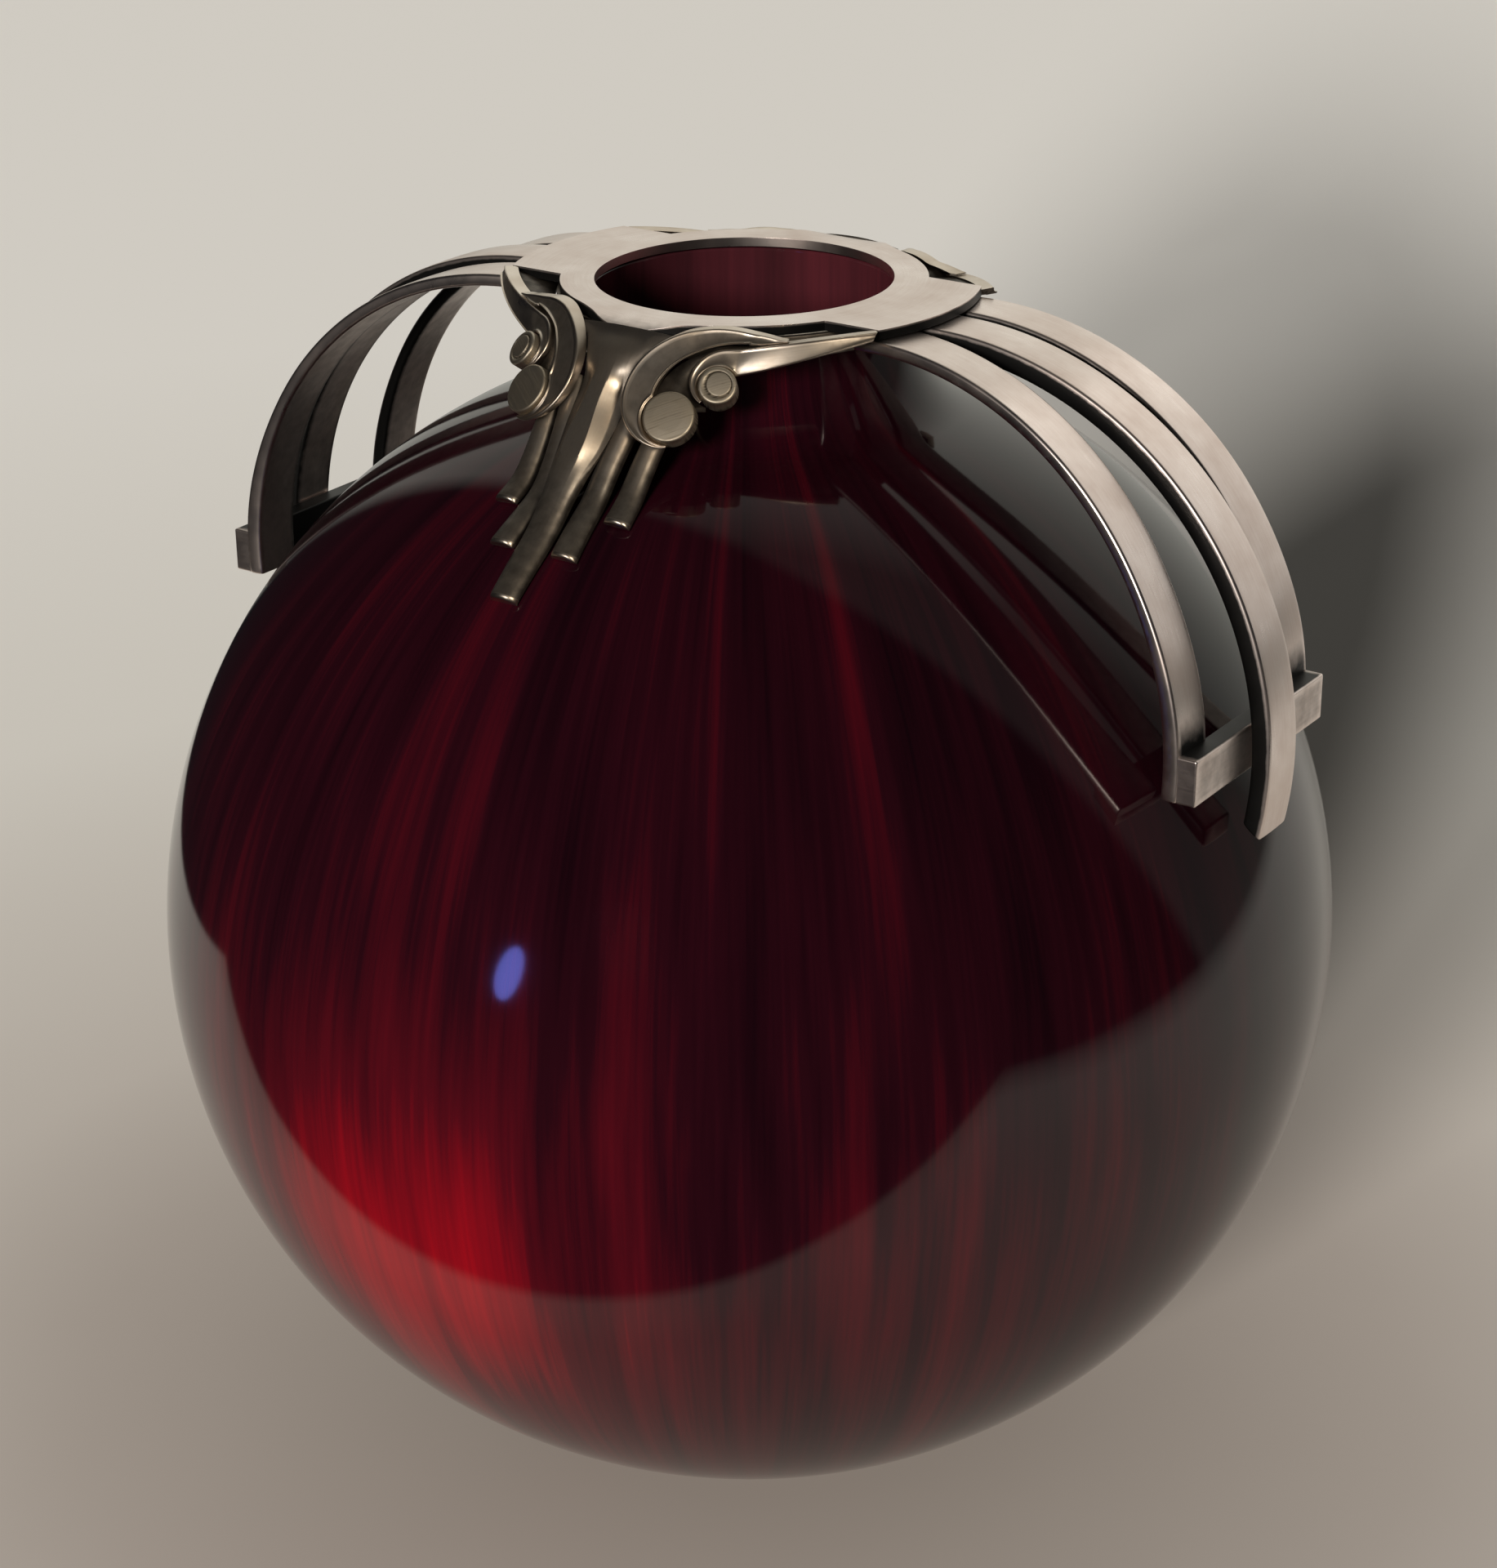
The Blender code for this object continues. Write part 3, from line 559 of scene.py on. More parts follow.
corners = [math.asin(ARM_HALF_WIDTH / reach) for reach in (ARM_REACH, NOTCH_RADIUS)]
angles = {2 * math.pi * i / COLLAR_STEPS for i in range(COLLAR_STEPS)}
for corner in corners:
    angles.update((corner, math.pi - corner, math.pi + corner, 2 * math.pi - corner))
rows = []
for angle in sorted(angles):
    edge = collar_edge(angle)
    direction = Vector((math.cos(angle), math.sin(angle), 0.0))
    past_ring = max(0.0, edge - RING_RADIUS) if abs(math.sin(angle)) > TONGUE_SIDES else 0.0
    roll = TONGUE_ROLL * past_ring / TONGUE_REACH
    row = [(direction * COLLAR_HOLE_RADIUS + UP * COLLAR_BOTTOM, COLLAR_HOLE_RADIUS, HOLE_PATINA)]
    for i in range(COLLAR_RADIAL_STEPS + 1):
        share = i / COLLAR_RADIAL_STEPS
        radius = mix(COLLAR_HOLE_RADIUS, edge, share)
        spot = direction * radius + UP * (COLLAR_TOP - roll * share ** 3)
        # painted shade grows towards the rolled tip
        row.append((spot, radius, ROLL_PAINTED_SHADE * roll / TONGUE_ROLL * share ** 5))
    shoulder = UP * (COLLAR_TOP - roll - EDGE_SHOULDER)
    # painted shade on the cut edge
    row.append((direction * (edge - EDGE_SLANT) + shoulder, edge, CUT_PAINTED_SHADE))
    row.append((direction * edge + UP * COLLAR_BOTTOM, edge, CUT_PAINTED_SHADE))
    rows.append(row)
dress("collar_plate", rows, plated_sheet, COLLAR_EDGE, closed=True)
print("collar rows:", len(rows))

# %% [markdown]
# ## The handles
# Each handle is three flat bars that run out level under the arm and bend down like a quarter of an
# ellipse, with a crossbar let in between them. A bar is a flat section carried along that path. Its
# faces swell by a tenth of a millimetre and its sides by a little more, as on hand-filed bars, which
# keeps their shine alive. Sides that face another bar are painted dark as shade. The outer bars thicken
# down to the crossbar, where dark solder shows, deepened with painted shade from the crossbar.

# %% Handle bars
BAR_WIDTH = 0.0102
OUTER_BAR = {"thickness": 0.0024, "waist": 0.0610}
MIDDLE_BAR = {"thickness": 0.0038, "waist": 0.0572}
OUTER_BAR_EDGE = 0.45 * MM
MIDDLE_BAR_EDGE = 0.5 * MM
SPREAD_AT_COLLAR = 0.0127
SPREAD_AT_CROSSBAR = 0.0195
ARM_CORNER = math.sqrt(ARM_REACH ** 2 - ARM_HALF_WIDTH ** 2)
OUTER_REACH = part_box("right_handle_front_bar")[1].x
MIDDLE_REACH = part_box("right_handle_middle_bar")[1].x
CROSSBAR_LOW, CROSSBAR_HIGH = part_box("right_handle_crossbar")
BAR_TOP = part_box("right_handle_front_bar")[1].z
BAR_SWELL = 0.1 * MM
BAR_STEPS = 72
BAR_FACE_STEPS = 8
BAR_CORNER = 0.99           # share of the half width past which a point is on the bar's corner
SIDE_SWELL = 0.3 * MM
SIDE_STEPS = 4
INNER_PATINA = 0.42
# painted shade on bar sides that face another bar
BAR_SIDE_PAINTED_SHADE = 1.1
OUTWARD_PATINA = 0.1        # the outer sides of a handle are rubbed bright
# dark solder at the crossbar joint, deepened with painted shade from the crossbar
SOLDER_AND_SHADE_PATINA = 1.1
SOLDER_AND_SHADE_REACH = 0.007
FOOT_SWELL = 0.9 * MM       # outer bars grow this much thicker down to the crossbar
FOOT_SWELL_HEIGHT = 0.030
TIP_CUT = 2.6 * MM          # the middle bar's tip is sawn off slanting


def bar_spread(x):
    """How far an outer bar lies from the middle one."""
    return mix(SPREAD_AT_COLLAR, SPREAD_AT_CROSSBAR, (x - ARM_CORNER) / (OUTER_REACH - ARM_CORNER))


def bar_rows(lane, start, reach, sizes, tip, turn):
    """Sections of one bar. lane is -1, 0 or 1, and turn is -1 on the opposite handle."""
    hub = (start, CENTRE_HEIGHT + sizes["waist"])
    rise = BAR_TOP - hub[1]
    thin = sizes["thickness"]
    cut = 0.0 if lane else TIP_CUT
    last = math.acos((tip - hub[1]) / rise)
    inside_last = math.acos((tip + cut - hub[1]) / (rise - thin))
    outside = [(SLEEVE_OUTER + GAP, BAR_TOP)] + arc(hub, reach - start, rise, 0.0, last, BAR_STEPS)
    inside = [(SLEEVE_OUTER + GAP, BAR_TOP - thin)]
    inside += arc(hub, reach - start - thin, rise - thin, 0.0, inside_last, BAR_STEPS)
    rows = []
    for (xo, zo), (xi, zi) in zip(outside, inside):
        out = Vector((xo - xi, zo - zi)).normalized()
        above = zi - CROSSBAR_HIGH.z
        solder_and_shade = 0.0
        if lane:
            xo += FOOT_SWELL * (1 - ease(above, 0.0, FOOT_SWELL_HEIGHT))
            # solder and painted shade just above the crossbar
            if above > -SOLDER_AND_SHADE_REACH:
                solder_and_shade = SOLDER_AND_SHADE_PATINA * (1 - ease(above, 0.0, SOLDER_AND_SHADE_REACH))
        row = []
        faces = ((xo, zo, 1, 0.0), (xi, zi, -1, INNER_PATINA))
        for (x, z, way, dark), (x_next, z_next, _, _) in zip(faces, faces[::-1]):
            for i in range(BAR_FACE_STEPS + 1):
                across = way * (i / BAR_FACE_STEPS - 0.5) * BAR_WIDTH
                off_middle = abs(2 * across / BAR_WIDTH)
                swell = way * BAR_SWELL * (1 - off_middle ** 2)
                shade = max(dark, solder_and_shade if way > 0 and off_middle < BAR_CORNER else 0.0)
                # Sides facing another bar get painted shade; outer sides are rubbed bright.
                if way < 0 and off_middle > BAR_CORNER:
                    shade = OUTWARD_PATINA if lane * across > 0 else BAR_SIDE_PAINTED_SHADE
                y = lane * bar_spread(x) + across
                spot = Vector((turn * (x + out.x * swell), turn * y, z + out.y * swell))
                row.append((spot, across, shade))
            for i in range(1, SIDE_STEPS):
                share = i / SIDE_STEPS
                across = way * (BAR_WIDTH / 2 + 4 * SIDE_SWELL * share * (1 - share))
                x_side, z_side = mix(x, x_next, share), mix(z, z_next, share)
                # the same painted shade on sides that face another bar
                shade = OUTWARD_PATINA if lane * across > 0 else BAR_SIDE_PAINTED_SHADE
                y = lane * bar_spread(x_side) + across
                row.append((Vector((turn * x_side, turn * y, z_side)), across, shade))
        rows.append(row)
    return rows


HANDLES = (("right_handle", 1), ("left_handle", -1))
for handle, turn in HANDLES:
    for label, lane in zip(("front", "back")[::turn], (-1, 1)):
        rows = bar_rows(lane, ARM_CORNER, OUTER_REACH, OUTER_BAR, CROSSBAR_LOW.z, turn)
        dress(f"{handle}_{label}_bar", rows, plated_sheet, OUTER_BAR_EDGE)
    node = f"{handle}_middle_bar"
    rows = bar_rows(0, ARM_REACH, MIDDLE_REACH, MIDDLE_BAR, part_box(node)[0].z, turn)
    dress(node, rows, plated_sheet, MIDDLE_BAR_EDGE)
print("bars reach", round(OUTER_REACH / MM, 1), "and", round(MIDDLE_REACH / MM, 1), "mm from the axis")

# %% [markdown]
# ## The crossbars
# A crossbar is a short square bar. It is made of slices along its length, so that the brushing can run
# along it. Its outer edges and its two ends are rubbed brighter than its face, and its top and inner
# side are dark with painted shade.

# %% Crossbars
CROSSBAR_SLICES = 24
CROSSBAR_EDGE = 0.4 * MM
RUBBED_EDGE = 0.5 * MM
RUBBED_FACE = 3 * RUBBED_EDGE
FACE_PATINA = 0.42
TOP_PAINTED_SHADE = 1.3
END_PATINA_KEPT = 0.2
for handle, turn in HANDLES:
    inner_x, outer_x = CROSSBAR_LOW.x, CROSSBAR_HIGH.x
    low_z, high_z = CROSSBAR_LOW.z, CROSSBAR_HIGH.z
    # The top and the inner side carry painted shade.
    section = ((outer_x, low_z, 0.0), (outer_x, low_z + RUBBED_FACE, FACE_PATINA),
               (outer_x, high_z - RUBBED_FACE, FACE_PATINA), (outer_x, high_z, 0.0),
               (outer_x - RUBBED_EDGE, high_z, TOP_PAINTED_SHADE), (inner_x, high_z, TOP_PAINTED_SHADE),
               (inner_x, low_z, CUT_PAINTED_SHADE))
    rows = []
    for i in range(CROSSBAR_SLICES + 1):
        y = CROSSBAR_LOW.y + (CROSSBAR_HIGH.y - CROSSBAR_LOW.y) * i / CROSSBAR_SLICES
        kept = END_PATINA_KEPT if i in (0, CROSSBAR_SLICES) else 1.0
        rows.append([(Vector((turn * x, turn * y, z)), z, dark * kept) for x, z, dark in section])
    dress(f"{handle}_crossbar", rows, plated_sheet, CROSSBAR_EDGE)
print("crossbar length in mm:", round((CROSSBAR_HIGH.y - CROSSBAR_LOW.y) / MM, 1))

# %% [markdown]
# ## Rolling a flat pattern onto a cone
# The ornament was drawn flat, then bent round the neck so that it leans out over the shoulder. The same
# two steps are used here: u runs across the drawing and v down it, and a function rolls each point onto
# a cone, n above its surface. Where leaf and reeds meet the ball, they bend to lie on it.

# %% The cone and the ball under it
CONE_RADIUS = RING_RADIUS + 0.0021
CONE_TOP = COLLAR_TOP - 0.0005
CONE_LEAN = math.radians(36.5)
CONE_SLANT = CONE_RADIUS / math.sin(CONE_LEAN)
FLARE_START = 0.023
FLARE_SLOPE = 0.31
BALL_BLEND = 0.0012


def on_cone(u, v, n, facing):
    """Rolls a point of the drawing onto the cone. facing is -1 on the back ornament."""
    slant = math.hypot(u, CONE_SLANT + v)
    turn = math.atan2(u, CONE_SLANT + v) / math.sin(CONE_LEAN)
    n += FLARE_SLOPE * max(0.0, abs(u) - FLARE_START)
    radius = slant * math.sin(CONE_LEAN) + n * math.cos(CONE_LEAN)
    level = CONE_TOP - (slant - CONE_SLANT) * math.cos(CONE_LEAN) + n * math.sin(CONE_LEAN)
    return Vector((facing * radius * math.sin(turn), -facing * radius * math.cos(turn), level))


def ball_above_cone(u, v):
    """How far the ball's surface stands above the cone at a place of the drawing."""
    base = on_cone(u, v, 0.0, 1)
    radius = math.hypot(base.x, base.y)
    level = base.z - CENTRE_HEIGHT
    out, lift = math.cos(CONE_LEAN), math.sin(CONE_LEAN)
    a = (out / BALL_RADIUS) ** 2 + (lift / BALL_RISE) ** 2
    b = 2 * (radius * out / BALL_RADIUS ** 2 + level * lift / BALL_RISE ** 2)
    c = (radius / BALL_RADIUS) ** 2 + (level / BALL_RISE) ** 2 - 1
    return (-b + math.sqrt(b * b - 4 * a * c)) / (2 * a)


def soft_max(first, second):
    """The larger of two heights, with a soft bend where they cross."""
    return (first + second + math.hypot(first - second, BALL_BLEND)) / 2


print("cone radius at the collar in mm:", round(CONE_RADIUS / MM, 1))

# %% [markdown]
# ## The outlines of the scrolls
# A scroll is a band between two spirals that grow out of a round boss, the eye. The large one ends in a
# thin tail along the small one's strap, and that strap runs out to the corner of the handle's arm. Where
# a thumb would rub them, the first turns and the middle of the strap are bright.

# %% Spiral edges
SCROLL_FRONT = 0.0009
SCROLL_THICKNESS = 0.0023
SCROLL_BULGE = 0.0015
LARGE_EYE = Vector((0.0153, 0.0149))
LARGE_EYE_RADIUS = 0.0047
SMALL_EYE = Vector((0.02135, 0.00705))
SMALL_EYE_RADIUS = 0.00345
LARGE_OUTER_GROWTH = 0.224
LARGE_OUTER_QUICKEN = 0.0305
LARGE_INNER_GROWTH = 0.934
SMALL_GROWTH = 0.229
LARGE_OUTER_START = math.radians(50)
LARGE_INNER_START = math.radians(214)
SMALL_START = math.radians(72)
LARGE_CURL = (math.radians(78), math.radians(296))
LARGE_RUBBED = (math.radians(148), math.radians(182))   # below these the field is rubbed bright
SMALL_RUBBED = (math.radians(130), math.radians(175))
SMALL_CURL = (math.radians(120), math.radians(262))
STRAP_TIP = Vector((0.0422, -0.0109))
STRAP_TIP_WIDTH = 0.0021
STRAP_TOP_BEND = Vector((0.0304, -0.0037))
STRAP_LOW_BEND = Vector((0.0318, 0.0000))
STRAP_LOW_START = math.radians(302)
STRAP_ROUND_SHARE = 1 / 3
STRAP_RUBBED = 0.8
STRAP_RUBBED_RISE = (0.12, 0.30)   # shares of the strap where its rubbed stretch begins
STRAP_RUBBED_FALL = (0.45, 0.95)   # and where it ends
TAIL_END = 0.45             # where the large scroll's tail dies out, as a share of the strap
TAIL_STEPS = 16
SCROLL_STEPS = 72
STRAP_STEPS = 36


def spiral(eye, radius, growth, quicken, turn_from, angle):
    """A place on a spiral that grows out of an eye from one angle on."""
    turn = angle - turn_from
    return rim(eye, radius * math.exp((growth + quicken * turn) * turn), angle)


def rim(eye, radius, angle):
    """A place on a circle round an eye."""
    return eye + radius * Vector((math.cos(angle), math.sin(angle)))


def bezier(a, b, c, t):
    """A place on a curve from a to c that is pulled towards b."""
    return a * (1 - t) ** 2 + b * 2 * t * (1 - t) + c * t ** 2


def curl(limits, i, steps):
    """One of the evenly spaced angles between two limits."""
    return limits[0] + (limits[1] - limits[0]) * i / steps


def small_outer(angle):
    """Outer edge of the small scroll."""
    return spiral(SMALL_EYE, SMALL_EYE_RADIUS, SMALL_GROWTH, 0.0, SMALL_START, angle)


def large_outer(angle):
    """Outer edge of the large scroll."""
    return spiral(LARGE_EYE, LARGE_EYE_RADIUS, LARGE_OUTER_GROWTH, LARGE_OUTER_QUICKEN,
                  LARGE_OUTER_START, angle)


def large_inner(angle):
    """Its inner edge, round the eye and then away from it."""
    growth = LARGE_INNER_GROWTH if angle > LARGE_INNER_START else 0.0
    return spiral(LARGE_EYE, LARGE_EYE_RADIUS + GAP, growth, 0.0, LARGE_INNER_START, angle)


def strap_top(t):
    """Upper edge of the strap, from the small scroll to its tip."""
    return bezier(small_outer(SMALL_CURL[1]), STRAP_TOP_BEND, STRAP_TIP, t)


def large_scroll_edges():
    """Outer point, inner point, strap share and rubbed share along the large scroll and its tail."""
    edges = []
    for i in range(SCROLL_STEPS + 1):
        angle = curl(LARGE_CURL, i, SCROLL_STEPS)
        edges.append((large_outer(angle), large_inner(angle), 0.0, 1 - ease(angle, *LARGE_RUBBED)))
    outer_start, inner_start = edges[-1][:2]
    heading = (outer_start - edges[-2][0]).normalized()
    tip = strap_top(TAIL_END)
    bend = outer_start + heading * (tip - outer_start).length / 2
    for i in range(1, TAIL_STEPS + 1):
        t = i / TAIL_STEPS
        inner = bezier(inner_start, strap_top(TAIL_END / 3), tip, t)
        edges.append((bezier(outer_start, bend, tip - Vector((0.0, GAP)), t), inner, 0.0, 0.0))
    return edges


def small_scroll_edges():
    """The curl round the small eye, then the strap that runs out to the arm's corner."""
    seat = SMALL_EYE_RADIUS + GAP
    edges = []
    for i in range(SCROLL_STEPS + 1):
        angle = curl(SMALL_CURL, i, SCROLL_STEPS)
        low = rim(SMALL_EYE, seat, angle)
        edges.append((small_outer(angle), low, 0.0, 1 - ease(angle, *SMALL_RUBBED)))
    low_tip = STRAP_TIP + Vector((0.0, STRAP_TIP_WIDTH))
    for i in range(1, STRAP_STEPS + 1):
        t = i / STRAP_STEPS
        rounding = min(1.0, t / STRAP_ROUND_SHARE)
        low = rim(SMALL_EYE, seat, mix(SMALL_CURL[1], STRAP_LOW_START, rounding))
        if t > STRAP_ROUND_SHARE:
            along = (t - STRAP_ROUND_SHARE) / (1 - STRAP_ROUND_SHARE)
            low = bezier(low, STRAP_LOW_BEND, low_tip, along)
        rubbed = STRAP_RUBBED * ease(t, *STRAP_RUBBED_RISE) * (1 - ease(t, *STRAP_RUBBED_FALL))
        edges.append((strap_top(t), low, min(1.0, 2 * t), rubbed))
    return edges


print("rows along a small scroll and its strap:", len(small_scroll_edges()))

# %% [markdown]
# ## The scroll plates
# The chaser rubbed the outer edge of each band round, left a thin raised rim along the inner one and
# sank the field between them, where the patina stays. The plates are cut level, so their tops show as
# pale ribbons. Those of the back ornament hang a little lower.

# %% Scroll plates
RIM_WIDTH = 0.55 * MM
RIM_RISE = 0.28 * MM
RIM_CREST = 0.7             # where the rounded outer edge is highest, as a share of its width
FIELD_DEPTH = 0.20 * MM
STRAP_DEPTH = 0.35 * MM
PLATE_DEPTH = 2.0 * MM
EDGE_WIDTH = 0.8 * MM
EDGE_DROP = 0.45 * MM
MOST = {"rim": 0.3, "rise": 0.3, "depth": 0.12, "edge": 0.35, "drop": 0.2}   # as shares of a band's width
BACK_DROP = 1.5 * MM
STRAP_CURL = -0.20          # how far the strap's lower edge turns in, as a share of its width
RIM_POINTS = (0.0, 0.12, 0.3, 0.5, 0.7, 0.88, 1.0)
FIELD_POINTS = RIM_POINTS[1:-1]
FIELD_PATINA = 0.72
INNER_SIDE_PATINA = 0.9
OUTER_SIDE_PATINA = (0.1, 0.8)     # at the top of the drawing, and how much is added further down
OUTER_SIDE_RANGE = (0.005, 0.014)
SCROLL_EDGE = 0.15 * MM
ORNAMENTS = (("front", 1), ("back", -1))
HANDS = (("right", 1), ("left", -1))


def on_plate(spot, n, side, facing):
    """A place on the scroll plates. The plates of the back ornament hang a little lower."""
    return on_cone(side * spot.x, spot.y + (BACK_DROP if facing < 0 else 0.0), n, facing)


def scroll_bulge(u):
    """How far the plates stand out from the cone between the large eyes."""
    return SCROLL_BULGE * max(0.0, 1 - (u / LARGE_EYE.x) ** 2)


def scroll_front(width, strap, rubbed, drop):
    """Share of the width, lift and patina across a band: rounded edge, hollow field and rim."""
    rim_share = min(MOST["rim"], RIM_WIDTH / width)
    depth = min(MOST["depth"] * width, mix(FIELD_DEPTH, STRAP_DEPTH, strap))
    rise = min(RIM_RISE, MOST["rise"] * width)
    edge_share = min(MOST["edge"], EDGE_WIDTH / width)
    front = []
    for t in RIM_POINTS:
        bend = 1 - min(1.0, t / RIM_CREST)
        lift = drop * (math.sqrt(1 - bend ** 2) - 1) - 0.5 * depth * ease(t, RIM_CREST, 1.0)
        front.append((t * edge_share, lift, 0.0))
    for t in FIELD_POINTS:
        hollow = -depth * (0.5 + 2 * t * (1 - t))
        share = edge_share + (1 - edge_share - rim_share) * t
        front.append((share, hollow, FIELD_PATINA * (1 - rubbed)))
    for t in reversed(RIM_POINTS):
        front.append((1 - t * rim_share, rise * math.sin(math.pi * t) ** 2 - 0.5 * depth * t, 0.0))
    return front


def scroll_rows(edges, side, facing):
    """Sections of a scroll: its chased front, and a back cut level."""
    rows = []
    for outer, inner, strap, rubbed in edges:
        width = (inner - outer).length
        gutter = STRAP_CURL * width * strap
        drop = min(EDGE_DROP, MOST["drop"] * width)
        row = []
        for share, lift, dark in scroll_front(width, strap, rubbed, drop):
            spot = outer.lerp(inner, share)
            n = SCROLL_FRONT + scroll_bulge(spot.x) + lift + gutter * share ** 2
            row.append((on_plate(spot, n, side, facing), share * width, dark))
        least, added = OUTER_SIDE_PATINA
        outer_dark = least + added * ease(outer.y, *OUTER_SIDE_RANGE)
        for share, dark in ((1.0, INNER_SIDE_PATINA), (0.0, outer_dark)):
            spot = outer.lerp(inner, share)
            n = SCROLL_FRONT + scroll_bulge(spot.x) + gutter * share ** 2 - drop * (1 - share)
            spot = spot - Vector((0.0, PLATE_DEPTH * math.sin(CONE_LEAN)))
            n -= PLATE_DEPTH * math.cos(CONE_LEAN)
            row.append((on_plate(spot, n, side, facing), share * width, dark))
        rows.append(row)
    return rows


for ornament, facing in ORNAMENTS:
    for hand, side in HANDS:
        for size, edges in (("large", large_scroll_edges()), ("small", small_scroll_edges())):
            rows = scroll_rows(edges, side, facing)
            dress(f"{ornament}_{size}_scroll_{hand}", rows, plated_casting, SCROLL_EDGE)
print("scroll plates:", 2 * len(ORNAMENTS) * len(HANDS))

# %% [markdown]
# ## The webs
# In the casting, a thin sunk web joins the two scrolls. Under the collar a dark sheet joins them to the
# sleeve: it is painted shade, put where only shade falls, so nothing shows through. Each is a thin strip
# between two lines of points, and is dark.

# %% Webs
WEB_DEPTH = 1.2 * MM
WEB_THICKNESS = 0.8 * MM
WEB_STEPS = 24
# dark of the sunk webs, and painted shade on the sheet under the collar
WEB_PATINA_AND_SHADE = 0.95
WEB_LARGE = (math.radians(190), LARGE_CURL[1])
WEB_SMALL = (math.radians(105), SMALL_CURL[1])
SHADE_SHEET_LARGE = (math.radians(222), LARGE_CURL[1])


def web(name, pairs):
    """A dark strip between pairs of points. It replaces no solid, but rides with them."""
    down = UP * -WEB_THICKNESS
    rows = [[(spot, 0.0, WEB_PATINA_AND_SHADE) for spot in (a, b, b + down, a + down)] for a, b in pairs]
    piece = bpy.data.objects.new(name, skin(name, rows))
    piece.data.materials.append(plated_casting)
    scene.collection.objects.link(piece)
    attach(piece, "root")
    return piece


def sunk(spot, side, facing):
    """A place below the fronts of the plates, where the webs lie."""
    return on_plate(spot, SCROLL_FRONT - WEB_DEPTH + scroll_bulge(spot.x), side, facing)


webs = []
for ornament, facing in ORNAMENTS:
    for hand, side in HANDS:
        between, shade_sheet_pairs = [], []
        for i in range(WEB_STEPS + 1):
            first = large_inner(curl(WEB_LARGE, i, WEB_STEPS))
            second = small_outer(curl(WEB_SMALL, i, WEB_STEPS))
            between.append((sunk(first, side, facing), sunk(second, side, facing)))
        # Painted shade: a dark sheet from the scrolls to the sleeve, where only shade falls.
        front_edge = [large_outer(curl(SHADE_SHEET_LARGE, i, WEB_STEPS)) for i in range(WEB_STEPS + 1)]
        front_edge += [strap_top(i / WEB_STEPS) for i in range(WEB_STEPS // 3, WEB_STEPS + 1)]
        for spot in front_edge:
            outside = sunk(spot, side, facing)
            inside = Vector((outside.x, outside.y, 0.0)).normalized() * (SLEEVE_OUTER + GAP)
            shade_sheet_pairs.append((outside, inside + UP * min(outside.z, COLLAR_BOTTOM - MM)))
        webs.append(web(f"{ornament}_scroll_web_{hand}", between))
        webs.append(web(f"{ornament}_scroll_shade_sheet_{hand}", shade_sheet_pairs))
print("webs:", len(webs))

# %% [markdown]
# ## The eyes
# Each eye is a round boss with a flat hatched face that swells slightly, a rounded rim and a dark side.
# The small ones have a dark groove round the face. An eye is a small turned shape, set upright on the cone.

# %% Eyes
EYE_RISE = 0.0013
EYE_SIZES = {"large": (LARGE_EYE, LARGE_EYE_RADIUS, 0.0030),
             "small": (SMALL_EYE, SMALL_EYE_RADIUS, 0.0040)}   # place, radius and depth
EYE_SWELL = 0.15 * MM
EYE_EDGE = 0.45 * MM
EYE_EDGE_STEPS = 4
EYE_BEVEL = 0.1 * MM
EYE_GROOVE = 0.25 * MM
EYE_OFFSET = 0.22 * MM       # a small eye is a last turn of spiral, so its face sits off centre
FACE_SHARES = (0.0, 0.3, 0.55, 0.62)   # rings of the face, as shares of the radius
FACE_END = 0.72
GROOVE_RINGS = ((0.67, -EYE_GROOVE, 1.0), (0.70, -EYE_GROOVE, 1.0), (0.76, 0.0, 0.0))
EYE_FACE_PATINA = 0.12
EYE_SIDE_PATINA = 0.9
EYE_STEPS = 64
HATCH_SLANT = math.radians(35)


def eye_rows(eye, radius, depth, grooved, side, facing):
    """Rings of a boss, from its face to its back."""
    face = SCROLL_FRONT + EYE_RISE
    top = on_plate(eye, face, side, facing)
    axis = (top - on_plate(eye, face - depth, side, facing)).normalized()
    outward = (on_plate(eye + Vector((MM, 0.0)), face, side, facing) - top).normalized()
    upward = side * axis.cross(outward)
    profile = [(radius * share, EYE_SWELL * (1 - share ** 2), EYE_FACE_PATINA) for share in FACE_SHARES]
    if grooved:
        profile += [(radius * share, lift, dark) for share, lift, dark in GROOVE_RINGS]
    for i in range(EYE_EDGE_STEPS + 1):
        angle = math.pi / 2 * i / EYE_EDGE_STEPS
        profile.append((radius - EYE_EDGE * (1 - math.sin(angle)), EYE_EDGE * (math.cos(angle) - 1), 0.0))
    profile += [(radius, -depth, EYE_SIDE_PATINA), (0.0, -depth, EYE_SIDE_PATINA)]
    rows = []
    for reach, lift, dark in profile:
        if reach == 0.0:
            on_face = grooved and dark < EYE_SIDE_PATINA
            aside = (outward + upward) * EYE_OFFSET if on_face else Vector()
            rows.append([(top + axis * lift + aside, 0.0, dark)])
            continue
        row = []
        for i in range(EYE_STEPS):
            angle = 2 * math.pi * i / EYE_STEPS
            x, y = reach * math.cos(angle), reach * math.sin(angle)
            hatch = y * math.cos(HATCH_SLANT) - x * math.sin(HATCH_SLANT)
            if grooved and reach < FACE_END * radius:
                x, y = x + EYE_OFFSET, y + EYE_OFFSET
            row.append((top + axis * lift + outward * x + upward * y, hatch, dark))
        rows.append(row)
    return rows


for ornament, facing in ORNAMENTS:
    for hand, side in HANDS:
        for size, (eye, radius, depth) in EYE_SIZES.items():
            rows = eye_rows(eye, radius, depth, size == "small", side, facing)
            dress(f"{ornament}_{size}_eye_{hand}", rows, plated_boss, EYE_BEVEL)
print("eyes:", 2 * len(ORNAMENTS) * len(HANDS))

